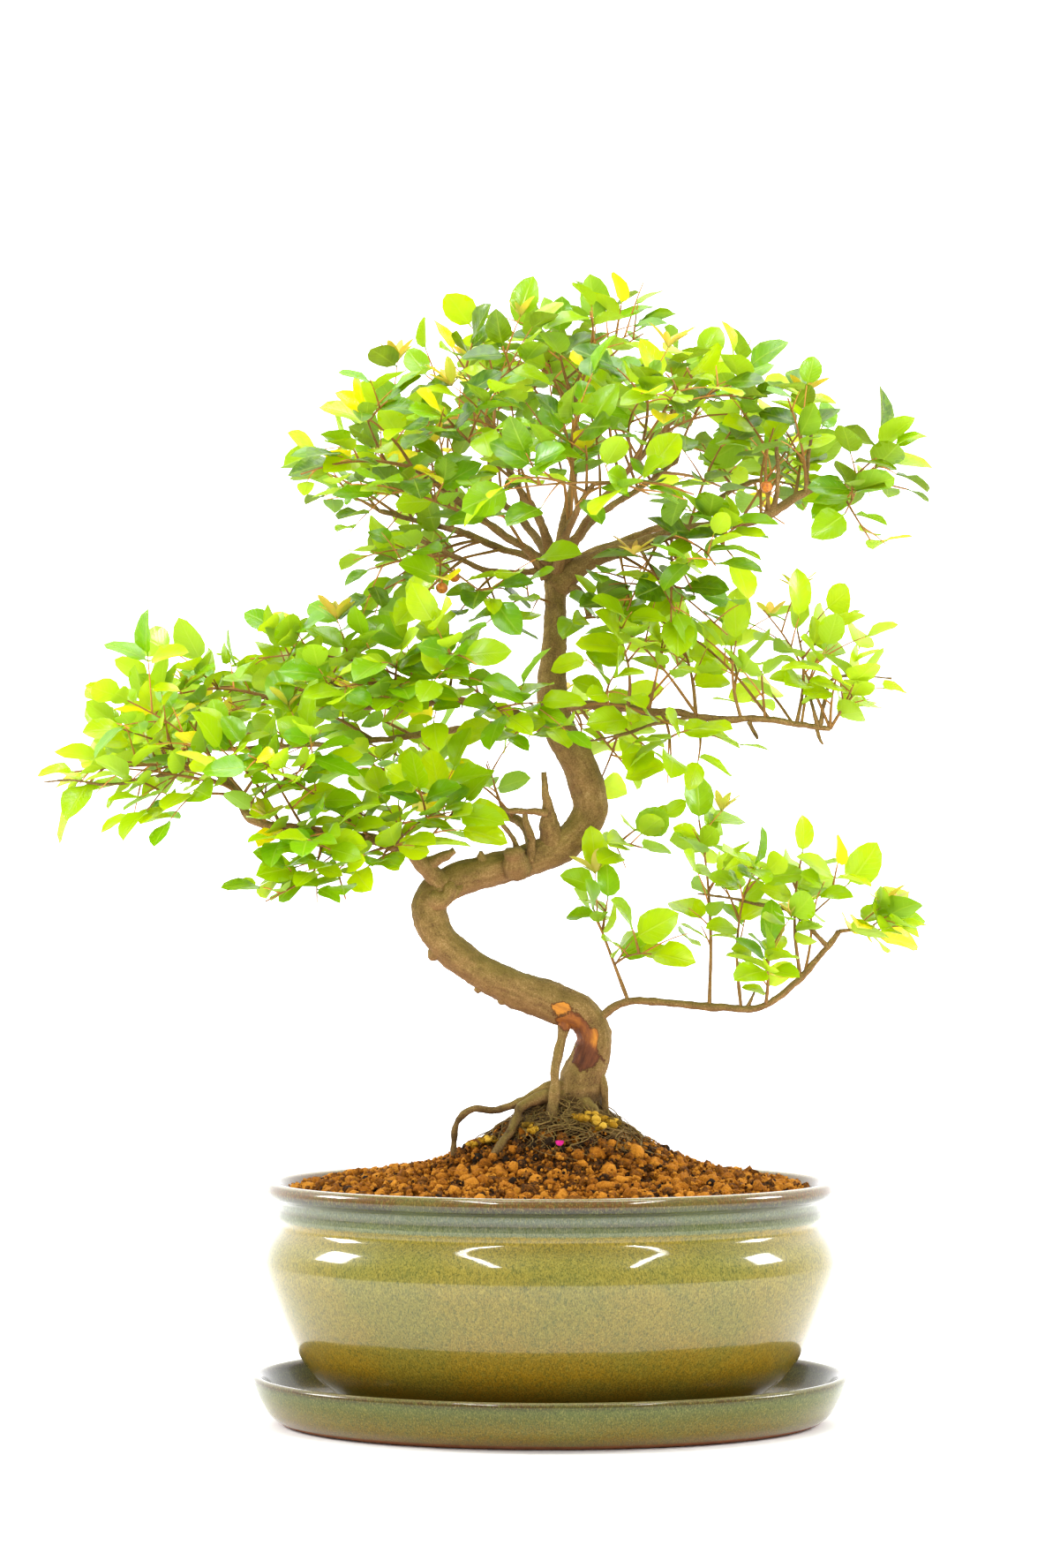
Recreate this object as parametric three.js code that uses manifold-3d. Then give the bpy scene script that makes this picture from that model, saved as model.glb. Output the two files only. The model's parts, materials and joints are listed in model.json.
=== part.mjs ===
// Sweet plum bonsai in a glazed oval pot that stands on its drip tray.
// Millimetres, +Z up, +X along the pot's long side, +Y away from the front.
// The origin is the centre of the tray's flat underside.

import * as THREE from 'three';
import { mergeVertices } from 'three/addons/utils/BufferGeometryUtils.js';
import Module from 'manifold-3d';

// Driving dimensions of the ceramics
const GAP = 0.3; // left between pieces that rest on or in each other
const OVAL_SIDES = 32; // straight edges in each oval ring
const POT_HALF = 125.5; // half of the pot's length at its widest
const POT_INSET = 33; // half length less half depth of the pot
const POT_FLOOR = 17.5; // top of the pot's floor
const POT_UNDERSIDE = 10.5;
const FOOT_AT = [58, 32]; // centres of the four low feet
const FOOT_RADIUS = 8;
const DRAIN_AT = 34; // drain holes, left and right of the middle
const DRAIN_RADIUS = 6;
const TRAY_HALF = 130.4; // half of the tray's length at its rim
const TRAY_INSET = 36;
const TRAY_FLOOR = 6;

// Driving dimensions of the soil
const SOIL_EDGE = 99; // height where the soil meets the pot's wall
const SOIL_HALF = 117; // half of its length there
const SOIL_OVAL = 83; // rings with a shorter half length turn rounder towards the middle
const SOIL_CROWN = 9; // gentle rise from the edge to the middle
const MOUND_HEIGHT = 27;
const MOUND_AT = 6; // the mound stands a little right of the middle
const MOUND_REACH = [46, 36];
const SOIL_RINGS = 8;
const GRAIN_RELIEF = 1.1;

// Driving dimensions of the foliage
const LEAF_LENGTH = [16, 23];
const LEAF_SHARE = [0.57, 0.69]; // width over length
const LEAF_THICKNESS = 0.75;
const LEAF_FOLD = 0.28; // rise of the edges over the midrib, per width
const LEAF_DROOP = 0.14; // fall of the tip, per length
const LEAF_FORWARD = 0.55; // share along the stem in the way of a leaf at its side
const LEAF_ASIDE = [0.6, 1.1];
const LEAF_RISE = [-0.25, 0.35];
const LEAF_STRAY = 0.5;
const FACE_UP = 0.75; // share of up in the way its upper face turns
const FACE_OUT = 0.65; // share of away from the trunk
const FACE_STRAY = 0.9;
const STEM_RADIUS = 1.1;
const SHOOT_RADIUS = 0.8;
const SHOOT_LENGTH = [11, 20];
const SHOOT_STEP = 38; // stem length for each site of a side shoot
const SHOOT_SPAN = [0.48, 0.9]; // part of a stem that carries side shoots
const SHOOT_SITE = 0.55; // place of a shoot's own pair of leaves
const SHOOT_LIFT = 0.08; // rise of a shoot's middle, per length
const SHOOT_TURN = [2.4, 2.6]; // radians from one shoot to the next, and of its random turn
const SHOOT_WAY = [0.5, 1, 0.7, 0.25]; // its share along the stem, aside, over and up
const FORK_AT = 0.35; // where a spray's other stems leave the first one
const STEM_LIFT = [0.02, 0.16]; // rise of a stem's middle, per length
const STEM_ASIDE = 0.16; // most that its middle stands to one side, per length
const STEM_TAPER = 0.65; // radius at the tip over the radius at the start
const LIMB_CLEAR = 5; // start of a stem that is not tested, past its limb's surface
const TWIG_CLEAR = 4; // start of a twig that is not tested against its stem
const SITE_LENGTH = 1.5; // stretch of a stem that a leaf or a shoot stands on
const TWIG_START = 2.2; // from the middle of a stem to a side shoot's first ring
const START_STEP = 0.004; // step of the search for a stem's clear start, as a share of it
const STEM_TRIES = 8;
const LEAF_TRIES = 12;
const LEAF_APART = 0.72; // cosine of the least angle between a leaf and what stands beside it
const FRUIT_RADIUS = 2.6;
const SEED = 2014;

// The trunk from its foot in the soil to the fork below the crown: x, y, z, radius
const TRUNK = [
  [10, 0, 110, 12.5],
  [11, 0, 124, 12],
  [12, 0, 134.9, 10.5],
  [14, 0, 150, 9.5],
  [17, 0, 159, 8.5],
  [19.4, 0, 168.6, 7.9],
  [14.7, -1, 178.3, 8.1],
  [2.3, -3, 183.7, 8.3],
  [-10.5, -5, 188.4, 8.1],
  [-25.6, -7, 194.6, 7.6],
  [-38.4, -8, 203.1, 7.4],
  [-50, -8, 215.5, 7.4],
  [-52.7, -7, 227.9, 7.4],
  [-44.2, -4, 236, 7.4],
  [-30.6, 0, 241.1, 7.4],
  [-9.3, 4, 246.5, 7.4],
  [8.1, 7, 254.3, 7.2],
  [17.8, 8, 268.2, 7.2],
  [14.3, 6, 285.7, 7.6],
  [5.4, 3, 301.6, 7.4],
  [1.2, 1, 317.8, 6.8],
  [1.6, 0, 337.2, 5.2],
  [2.7, 0, 356.6, 4.8],
  [2.9, 0, 374, 5],
  [3, 0, 382, 3.4],
];

// Surface roots, from inside the trunk down into the soil: x, y, z, radius
const ROOTS = [
  [
    [7, -3, 180, 2.6], [5.4, -7, 170, 2.3], [2.6, -10, 158, 2], [1.8, -11, 148, 2.2],
    [1, -13, 138, 2.8], [0, -15, 126, 3],
  ],
  [
    [12, -2, 146, 3.4], [-0.4, -5, 147, 2.4], [-8, -6, 143.4, 1.9], [-14.7, -7, 140.3, 1.8],
    [-25.6, -8, 137.6, 1.6], [-33.3, -9, 138, 1.6], [-38.4, -9, 135.3, 1.6],
    [-41.1, -9, 130.6, 1.5], [-41.8, -9, 124, 1.5], [-42, -9, 112, 1.4],
  ],
  [
    [8, -4, 143, 3], [-5, -9, 142.5, 2.4], [-13, -12, 139, 2.1], [-15, -15, 134.5, 2],
    [-17.5, -19, 129, 1.9], [-23, -24, 121.5, 1.7], [-27, -27, 113, 1.6],
  ],
  [
    [18, -2, 158, 2], [22.6, -3, 151, 1.6], [24.3, -4, 141, 1.5], [25, -5, 124, 1.5],
  ],
  [
    [14, -6, 141, 3.4], [23, -13, 135, 2.6], [31, -19, 127.5, 2.2], [37, -24, 117, 1.8],
  ],
  [
    [10, 6, 141, 3.6], [3, 15, 135.5, 2.6], [-4, 24, 127, 2.2], [-8, 30, 114, 1.8],
  ],
  [
    [16, 5, 141, 3.4], [28, 12, 133.5, 2.6], [38, 17, 125, 2.1], [44, 20, 112, 1.7],
  ],
];

// Main limbs, from inside the trunk or a thicker limb to their ends: x, y, z, radius
const LIMBS = {
  low_right: [
    [17, -1, 172, 2.2], [24, -3, 179.1, 1.9], [31, -4, 183.3, 1.8], [41.9, -6, 184.9, 1.7],
    [65.5, -9, 182.9, 1.7], [83.3, -12, 181.8, 1.6], [92.2, -14, 182.9, 1.6],
    [101.2, -15, 188.4, 1.6], [110.9, -15, 197.3, 1.5], [120.9, -14, 208.9, 1.4],
    [126, -13, 215.5, 1.1],
  ],
  left_low: [
    [-43, -5, 232, 4.4], [-48.1, -8, 236.4, 4.3], [-55, -12, 245, 3.9], [-62.4, -16, 251.2, 3.1],
    [-71.3, -20, 253.9, 2.6], [-86.8, -26, 257, 2.3], [-104.3, -29, 259.3, 2.3],
    [-117.8, -29, 260.5, 2.1], [-130.2, -27, 265.5, 2.1], [-134.5, -24, 273.6, 1.9],
    [-139, -20, 281, 1.7], [-146, -16, 288, 1.4],
  ],
  left_high: [
    [4, 2, 303, 2.4], [-5, -2, 305, 2.3], [-17.1, -7, 311.6, 2.1], [-32.2, -11, 314.3, 1.9],
    [-44.6, -13, 315.9, 1.8], [-63.6, -14, 314, 1.6], [-80.6, -13, 313.2, 1.4],
    [-99.2, -11, 314.7, 1.2], [-116.7, -8, 315.5, 1],
  ],
  left_high_back: [
    [3, 4, 306, 2.4], [-10, 18, 307, 1.9], [-33, 32, 306, 1.7], [-60, 42, 302, 1.5],
    [-92, 48, 299, 1.3], [-124, 50, 297, 1.1], [-146, 50, 296, 1],
  ],
  left_back: [
    [-7, 5, 248, 2.4], [-8.5, 13, 255.4, 2.3], [-12, 20, 262, 2.1], [-20, 27, 266, 1.9],
    [-34, 35, 270, 1.5], [-52, 42, 274, 1.1],
  ],
  dead_stub: [
    [1, 4, 253, 3.6], [-0.8, -1, 265.5, 2.7], [-1.6, -4, 275.2, 1.8], [-2.7, -5, 285, 1.2],
  ],
  mid_right: [
    [3, 1, 313, 2.3], [8.9, -1, 314.3, 2], [20.5, -3, 314.3, 1.9], [39.9, -6, 312.4, 1.8],
    [54.3, -8, 310.5, 1.7], [73.6, -10, 308.5, 1.6], [89.9, -11, 307.8, 1.5],
    [102.7, -11, 306.6, 1.4], [115.1, -10, 304.7, 1.2], [122.5, -9, 303.9, 1],
  ],
  crown_right: [
    [3, 0, 368, 4], [12.4, -4, 374.4, 3.6], [27.1, -9, 381, 3.3], [40.3, -13, 384.1, 3.1],
    [56.2, -17, 389.5, 2.7], [78.7, -20, 392.6, 2.3], [92.2, -20, 395.7, 2.1],
    [102.7, -18, 401.9, 1.9], [113.2, -15, 407, 1.7], [127, -12, 408.5, 1.2],
  ],
  crown_right_back: [
    [4, 1, 371, 2.5], [10.1, 5, 377.9, 2.1], [21.7, 11, 383.3, 1.9], [47.7, 22, 393.4, 1.6],
    [64.3, 29, 398.8, 1.4], [78.7, 35, 410.1, 1.2], [92.2, 39, 416.3, 1],
  ],
  crown_left_front: [
    [3, 0, 374, 2.5], [-2.3, -3, 377.1, 2.1], [-10.1, -8, 382.2, 1.9], [-20.2, -14, 388.4, 1.7],
    [-31.4, -19, 396.1, 1.6], [-46.1, -24, 407, 1.3], [-59.7, -27, 416.7, 1],
  ],
  crown_left_back: [
    [3, 1, 373, 2.4], [-9, 8, 380, 1.8], [-23, 14, 385, 1.6], [-40, 20, 392, 1.5],
    [-58, 24, 397, 1.2], [-76, 26, 402, 1],
  ],
  crown_fruit: [
    [2, 0, 371, 2], [-3, -4, 372.9, 1.6], [-22.9, -12, 372.1, 1.4], [-38, -18, 377.1, 1.2],
    [-48.5, -23, 381.8, 1.1], [-56.6, -27, 385.3, 1],
  ],
  crown_up_left: [
    [2, -1, 375, 2.6], [-4, -12, 393, 1.9], [-14, -22, 410, 1.6], [-23, -28, 428, 1.3],
    [-30, -30, 443, 1],
  ],
  crown_up: [
    [3, 1, 375, 3], [7, 4, 398, 1.9], [11, 6, 419, 1.6], [12, 4, 440, 1.3], [11, 2, 456, 1],
  ],
  crown_up_right: [
    [4, -1, 375, 2.6], [15, -12, 393, 1.9], [29, -22, 410, 1.6], [44, -28, 426, 1.3],
    [55, -28, 439, 1],
  ],
  crown_back_right: [
    [4, 1, 373, 2.6], [12, 20, 389, 1.9], [27, 36, 404, 1.6], [45, 50, 417, 1.3], [58, 58, 427, 1],
  ],
  crown_back_left: [
    [2, 1, 373, 2.6], [-6, 20, 390, 1.9], [-20, 38, 405, 1.6], [-35, 52, 417, 1.3],
    [-47, 60, 426, 1],
  ],
  crown_front: [
    [3, -1, 371, 2.4], [6, -20, 384, 1.9], [10, -38, 393, 1.6], [14, -54, 401, 1.3],
    [18, -64, 406, 1],
  ],
};

// Leafy sprays: name, limb that carries it, place along that limb, then the tips of its stems.
// The first stem grows from the limb and the others fork from the first.
const SPRAYS = [
  ['crown_far_left', 'crown_left_front', 1, [[-93, -25, 419], [-80, -38, 441]]],
  ['crown_left_front', 'crown_left_front', 0.55, [[-69, -54, 406]]],
  ['crown_left_end', 'crown_left_back', 1, [[-93, 35, 411]]],
  ['crown_left_low', 'crown_left_back', 0.5, [[-68, 22, 372]]],
  ['crown_left_back_high', 'crown_left_back', 0.7, [[-68, 34, 448]]],
  ['crown_under_left', 'crown_fruit', 0.6, [[-56, -38, 359], [-24, -36, 358]]],
  ['crown_top_left', 'crown_up_left', 0.85, [[-42, -20, 468], [-11, -48, 460]]],
  ['crown_front_left', 'crown_up_left', 0.5, [[-46, -68, 436]]],
  ['crown_top', 'crown_up', 0.85, [[4, -8, 477], [38, 10, 480]]],
  ['crown_top_back', 'crown_up', 0.6, [[-21, 28, 474]]],
  ['crown_right_high', 'crown_up_right', 0.9, [[66, -20, 464], [88, -28, 446]]],
  ['crown_front_right', 'crown_up_right', 0.65, [[40, -64, 448]]],
  ['crown_back_right', 'crown_back_right', 1, [[72, 72, 457], [90, 76, 414]]],
  ['crown_back_top', 'crown_back_right', 0.6, [[27, 58, 468]]],
  ['crown_back_left', 'crown_back_left', 1, [[-68, 70, 446], [-52, 82, 400]]],
  ['crown_back_mid', 'crown_back_left', 0.6, [[-25, 66, 458]]],
  ['crown_front_low', 'crown_front', 1, [[41, -88, 400], [-18, -88, 402]]],
  ['crown_front_mid', 'crown_front', 0.6, [[9, -82, 432]]],
  ['crown_right_front', 'crown_right', 0.5, [[78, -44, 377]]],
  ['crown_right_up', 'crown_right', 0.7, [[97, -24, 434]]],
  ['crown_right_twig', 'crown_right', 0.82, [[112, 2, 430]]],
  ['crown_right_tip', 'crown_right', 1, [[149, -10, 420], [127, -34, 396]]],
  ['crown_right_back', 'crown_right_back', 1, [[114, 46, 414], [84, 42, 440]]],
  ['crown_under_right', 'crown_right', 0.32, [[54, -30, 354]]],
  ['left_far_tip', 'left_low', 1, [[-207, -16, 285], [-176, -6, 314]]],
  ['left_end', 'left_low', 0.86, [[-184, -34, 303], [-173, -42, 268]]],
  ['left_front', 'left_low', 0.62, [[-140, -60, 294], [-97, -54, 288]]],
  ['left_big_leaves', 'left_low', 0.5, [[-101, -50, 242]]],
  ['left_low_mid', 'left_low', 0.3, [[-72, -42, 247], [-47, -40, 268]]],
  ['left_mid_top', 'left_high', 1, [[-157, 6, 321]]],
  ['left_top', 'left_high', 0.75, [[-126, -26, 324], [-99, 8, 328]]],
  ['left_top_front', 'left_high', 0.48, [[-78, -46, 322]]],
  ['left_inner_front', 'left_high', 0.3, [[-45, -48, 328], [-19, -46, 308]]],
  ['left_back', 'left_back', 0.9, [[-84, 54, 290], [-52, 58, 298]]],
  ['left_back_end', 'left_high_back', 1, [[-174, 50, 298]]],
  ['left_back_mid', 'left_high_back', 0.6, [[-116, 66, 318]]],
  ['mid_front', 'mid_right', 0.3, [[31, -32, 340]]],
  ['mid_twig_up', 'mid_right', 0.5, [[57, 8, 344]]],
  ['mid_high', 'mid_right', 0.62, [[81, -16, 342], [77, 36, 338]]],
  ['mid_end_high', 'mid_right', 0.82, [[109, 2, 347]]],
  ['mid_tip', 'mid_right', 1, [[136, -12, 322]]],
  ['mid_low', 'mid_right', 0.4, [[52, -32, 292]]],
  ['mid_inner_low', 'mid_right', 0.15, [[32, 18, 290]]],
  ['low_twig_up', 'low_right', 0.42, [[65, -12, 264]]],
  ['low_mid', 'low_right', 0.5, [[88, -24, 243]]],
  ['low_top', 'low_right', 0.78, [[109, -28, 250], [129, -22, 236]]],
  ['low_end', 'low_right', 1, [[143, -8, 213]]],
  ['low_inner', 'low_right', 0.24, [[19, -18, 225], [44, -26, 206]]],
  ['low_front', 'low_right', 0.62, [[93, -36, 205]]],
  ['trunk_leaf', 'trunk', 0.66, [[40, -14, 252]]],
  ['trunk_high', 'trunk', 0.9, [[27, -24, 351]]],
];

// Small fruits: name, spray that carries it, stem, place along that stem
const FRUITS = [
  ['fruit_lower', 'crown_under_left', 0, 0.62],
  ['fruit_upper', 'crown_under_left', 0, 0.3],
  ['fruit_right', 'crown_right_up', 0, 0.3],
];

const wasm = await Module();
wasm.setup();

const UP = new THREE.Vector3(0, 0, 1);

function vector(values) {
  return new THREE.Vector3(values[0], values[1], values[2]);
}

function mix(low, high, share) {
  return low + (high - low) * share;
}

// A repeatable number from 0 to 1 for a list of whole numbers.
function draw(...keys) {
  let hash = SEED;
  for (const key of keys) {
    hash = Math.imul(hash ^ (key + 0x9e3779b9), 0x85ebca6b);
    hash ^= hash >>> 13;
    hash = Math.imul(hash, 0xc2b2ae35);
    hash ^= hash >>> 16;
  }
  return (hash >>> 0) / 4294967296;
}

// Solids and geometry

function closedGeometry(points, faces) {
  const geometry = new THREE.BufferGeometry();
  geometry.setAttribute('position', new THREE.Float32BufferAttribute(points.flat(), 3));
  geometry.setIndex(faces.flat());
  return geometry;
}

function solidOf(geometry) {
  const bare = geometry.clone();
  bare.deleteAttribute('normal');
  bare.deleteAttribute('uv');
  const merged = mergeVertices(bare);
  const mesh = new wasm.Mesh({
    numProp: 3,
    vertProperties: new Float32Array(merged.attributes.position.array),
    triVerts: new Uint32Array(merged.index.array),
  });
  return new wasm.Manifold(mesh);
}

function geometryOf(solid) {
  const mesh = solid.getMesh();
  const geometry = new THREE.BufferGeometry();
  geometry.setAttribute('position', new THREE.BufferAttribute(mesh.vertProperties, 3));
  geometry.setIndex(new THREE.BufferAttribute(mesh.triVerts, 1));
  geometry.computeVertexNormals();
  return geometry;
}

function joined(solids) {
  return solids.reduce((whole, piece) => whole.add(piece));
}

// The one body that matters: a loose scrap of a cut is dropped.
function largestBody(solid) {
  const bodies = solid.decompose();
  return bodies.reduce((best, body) => (body.volume() > best.volume() ? body : best));
}

// An oval solid from a profile of [half length, height], which starts and ends on the axis.
function ovalSolid(profile, inset) {
  const points = [];
  const rings = profile.map(([half, z]) => {
    const first = points.length;
    if (half === 0) {
      points.push([0, 0, z]);
      return { first, sides: 1 };
    }
    for (let side = 0; side < OVAL_SIDES; side++) {
      const turn = (side / OVAL_SIDES) * 2 * Math.PI;
      points.push([half * Math.cos(turn), (half - inset) * Math.sin(turn), z]);
    }
    return { first, sides: OVAL_SIDES };
  });
  const faces = [];
  for (let row = 0; row + 1 < rings.length; row++) {
    const low = rings[row];
    const high = rings[row + 1];
    for (let side = 0; side < OVAL_SIDES; side++) {
      const next = side + 1;
      const a = low.first + (side % low.sides);
      const b = low.first + (next % low.sides);
      const c = high.first + (next % high.sides);
      const d = high.first + (side % high.sides);
      if (low.sides > 1) faces.push([a, b, c]);
      if (high.sides > 1) faces.push([a, c, d]);
    }
  }
  return solidOf(closedGeometry(points, faces));
}

// Growing wood: smooth lines with a radius at each point

function alongLine(line, share) {
  const curve = new THREE.CatmullRomCurve3(line.map(vector), false, 'catmullrom', 0.5);
  const place = share * (line.length - 1);
  const index = Math.min(Math.floor(place), line.length - 2);
  return {
    point: curve.getPoint(share),
    tangent: curve.getTangent(share),
    radius: mix(line[index][3], line[index + 1][3], place - index),
  };
}

// A closed tube with sides flat faces round a line. The rings are turned along without twist.
// grow widens it and lengthens both ends, for the hole that it stands in.
function tubeSolid(line, sides, steps, knobs = 0, grow = 0) {
  const points = [];
  const faces = [];
  let across = null;
  for (let step = 0; step <= steps; step++) {
    const at = alongLine(line, step / steps);
    if (!across) {
      across = new THREE.Vector3(0, 1, 0).addScaledVector(at.tangent, -at.tangent.y).normalize();
    } else {
      across.addScaledVector(at.tangent, -at.tangent.dot(across)).normalize();
    }
    const beside = new THREE.Vector3().crossVectors(at.tangent, across);
    const end = step === 0 ? -grow : step === steps ? grow : 0;
    const centre = at.point.clone().addScaledVector(at.tangent, end);
    for (let side = 0; side < sides; side++) {
      const turn = (side / sides) * 2 * Math.PI;
      const knob = Math.sin(2 * turn + 0.9 * step) + 0.6 * Math.sin(3 * turn - 1.7 * step);
      const radius = at.radius * (1 + knobs * knob) + grow;
      const place = centre.clone();
      place.addScaledVector(across, radius * Math.cos(turn));
      place.addScaledVector(beside, radius * Math.sin(turn));
      points.push(place.toArray());
    }
  }
  const ring = (step, side) => step * sides + (side % sides);
  for (let step = 0; step < steps; step++) {
    for (let side = 0; side < sides; side++) {
      faces.push([ring(step, side), ring(step, side + 1), ring(step + 1, side + 1)]);
      faces.push([ring(step, side), ring(step + 1, side + 1), ring(step + 1, side)]);
    }
  }
  for (let side = 1; side + 1 < sides; side++) {
    faces.push([ring(0, 0), ring(0, side + 1), ring(0, side)]);
    faces.push([ring(steps, 0), ring(steps, side), ring(steps, side + 1)]);
  }
  return solidOf(closedGeometry(points, faces));
}

function limbLine(name) {
  return name === 'trunk' ? TRUNK : LIMBS[name];
}

// Room in the crown: what has grown so far, as points in a grid of cells

const CELL = 6;
const CELL_REACH = 2;
const KIND = { wood: 0, stem: 1, leaf: 2 };
const CLEAR_OTHER = [
  [0, 0, 0],
  [1.8, 3.4, 3.8],
  [2.6, 3.8, 5.4],
];
const CLEAR_OWN = [
  [0, 0, 0],
  [1.8, 2.4, 2.8],
  [2.6, 2.8, 4.4],
];
const cells = new Map();

function cellOf(x, y, z) {
  return `${Math.floor(x / CELL)},${Math.floor(y / CELL)},${Math.floor(z / CELL)}`;
}

function occupy(points, kind, owner, radius = 0) {
  for (const point of points) {
    const key = cellOf(point.x, point.y, point.z);
    if (!cells.has(key)) cells.set(key, []);
    cells.get(key).push({ point, kind, owner, radius });
  }
}

// A test looks at the cells around a point, which cover the trunk's radius and the widest gap.
function isFree(points, kind, owner) {
  for (const point of points) {
    for (let dx = -CELL_REACH; dx <= CELL_REACH; dx++) {
      for (let dy = -CELL_REACH; dy <= CELL_REACH; dy++) {
        for (let dz = -CELL_REACH; dz <= CELL_REACH; dz++) {
          const key = cellOf(point.x + dx * CELL, point.y + dy * CELL, point.z + dz * CELL);
          for (const other of cells.get(key) ?? []) {
            const clear = other.owner === owner ? CLEAR_OWN : CLEAR_OTHER;
            const need = clear[kind][other.kind] + other.radius;
            if (point.distanceTo(other.point) < need) return false;
          }
        }
      }
    }
  }
  return true;
}

function lineLength(line) {
  let length = 0;
  for (let i = 1; i < line.length; i++) length += vector(line[i]).distanceTo(vector(line[i - 1]));
  return length;
}

function occupyLine(line, kind, owner, step, withRadius) {
  const count = Math.ceil(lineLength(line) / step);
  for (let i = 0; i <= count; i++) {
    const at = alongLine(line, i / count);
    occupy([at.point], kind, owner, withRadius ? at.radius : 0);
  }
}

// Stems, shoots and leaves: where they grow

// A stem from a start to a tip: it bows up in the middle and a little to one side.
function stemLine(start, tip, radius, lift, aside) {
  const chord = tip.clone().sub(start);
  const length = chord.length();
  const side = new THREE.Vector3(-chord.y, chord.x, 0).normalize();
  const control = start.clone().addScaledVector(chord, 0.5);
  control.addScaledVector(UP, lift * length).addScaledVector(side, aside * length);
  const line = [];
  for (const share of [0, 0.33, 0.67, 1]) {
    const point = start.clone().multiplyScalar((1 - share) ** 2);
    point.addScaledVector(control, 2 * share * (1 - share)).addScaledVector(tip, share ** 2);
    line.push([point.x, point.y, point.z, radius * mix(1, STEM_TAPER, share)]);
  }
  return line;
}

// Samples along a line, which leave out its first millimetres next to its parent.
function stemSamples(line, skip) {
  const length = lineLength(line);
  const count = Math.ceil(length / 3);
  const samples = [];
  for (let i = 0; i <= count; i++) {
    if ((i / count) * length >= skip) samples.push(alongLine(line, i / count).point);
  }
  return samples;
}

// The first try that lies free is kept, or else the last one when the line can't be left out.
function growStem(owner, keys, skip, make, needed) {
  let line = null;
  for (let attempt = 0; attempt < STEM_TRIES; attempt++) {
    line = make((index) => draw(...keys, attempt, index));
    if (isFree(stemSamples(line, skip), KIND.stem, owner)) {
      occupyLine(line, KIND.stem, owner, 2, false);
      return line;
    }
  }
  if (!needed) return null;
  occupyLine(line, KIND.stem, owner, 2, false);
  return line;
}

// A twig is a line with sites along it, where leaves and other twigs stand.
function newTwig(line) {
  return { line, sites: [], tipLeaf: null };
}

function growMainStems(spray, owner) {
  const [, limb, place, tips] = spray;
  const root = alongLine(limbLine(limb), place);
  const stems = [];
  tips.forEach((tip, index) => {
    const start = index === 0 ? root.point : alongLine(stems[0].line, FORK_AT).point;
    const radius = index === 0 ? STEM_RADIUS : SHOOT_RADIUS;
    const skip = index === 0 ? root.radius + LIMB_CLEAR : TWIG_CLEAR;
    const make = (pick) => {
      const lift = mix(STEM_LIFT[0], STEM_LIFT[1], pick(0));
      return stemLine(start, vector(tip), radius, lift, mix(-STEM_ASIDE, STEM_ASIDE, pick(1)));
    };
    const twig = newTwig(growStem(owner, [owner, index, 1], skip, make, true));
    if (index > 0) stems[0].sites.push({ share: FORK_AT, twigs: [twig], leaves: [] });
    stems.push(twig);
  });
  return stems;
}

// A side shoot leaves its stem at a steep angle and turns up towards the light.
function growShoot(owner, stem, share, keys) {
  const at = alongLine(stem, share);
  const side = new THREE.Vector3().crossVectors(UP, at.tangent).normalize();
  const over = new THREE.Vector3().crossVectors(at.tangent, side);
  const make = (pick) => {
    const turn = keys[keys.length - 1] * SHOOT_TURN[0] + pick(0) * SHOOT_TURN[1];
    const way = at.tangent.clone().multiplyScalar(SHOOT_WAY[0]);
    way.addScaledVector(side, Math.cos(turn) * SHOOT_WAY[1]);
    way.addScaledVector(over, Math.sin(turn) * SHOOT_WAY[2]);
    way.addScaledVector(UP, SHOOT_WAY[3]).normalize();
    const length = mix(SHOOT_LENGTH[0], SHOOT_LENGTH[1], pick(1));
    const tip = at.point.clone().addScaledVector(way, length);
    return stemLine(at.point, tip, SHOOT_RADIUS, SHOOT_LIFT, 0);
  };
  return growStem(owner, keys, TWIG_CLEAR, make, false);
}

// Outline of a leaf: place along the midrib and share of the half width, right side first.
const OUTLINE = [
  [0.36, -1],
  [0.72, -0.8],
  [1, 0],
  [0.72, 0.8],
  [0.36, 1],
];

function leafPoint(leaf, along, across, above = 0) {
  const fold = LEAF_FOLD * Math.abs(across) * leaf.width * 0.5;
  const droop = LEAF_DROOP * along ** 2 * leaf.length;
  return leaf.base
    .clone()
    .addScaledVector(leaf.way, along * leaf.length)
    .addScaledVector(leaf.side, across * leaf.width * 0.5)
    .addScaledVector(leaf.normal, fold - droop + above);
}

const LEAF_SAMPLES = [
  [0.25, 0],
  [0.5, 0],
  [0.75, 0],
  [1, 0],
  [0.22, -0.55],
  [0.22, 0.55],
  [0.38, -0.95],
  [0.38, 0.95],
  [0.56, -0.9],
  [0.56, 0.9],
  [0.74, -0.75],
  [0.74, 0.75],
];

// A vector in a cube round the origin, from three draws.
function stray(pick, first, size) {
  const values = [0, 1, 2].map((offset) => size * (pick(first + offset) - 0.5));
  return vector(values);
}

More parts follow.
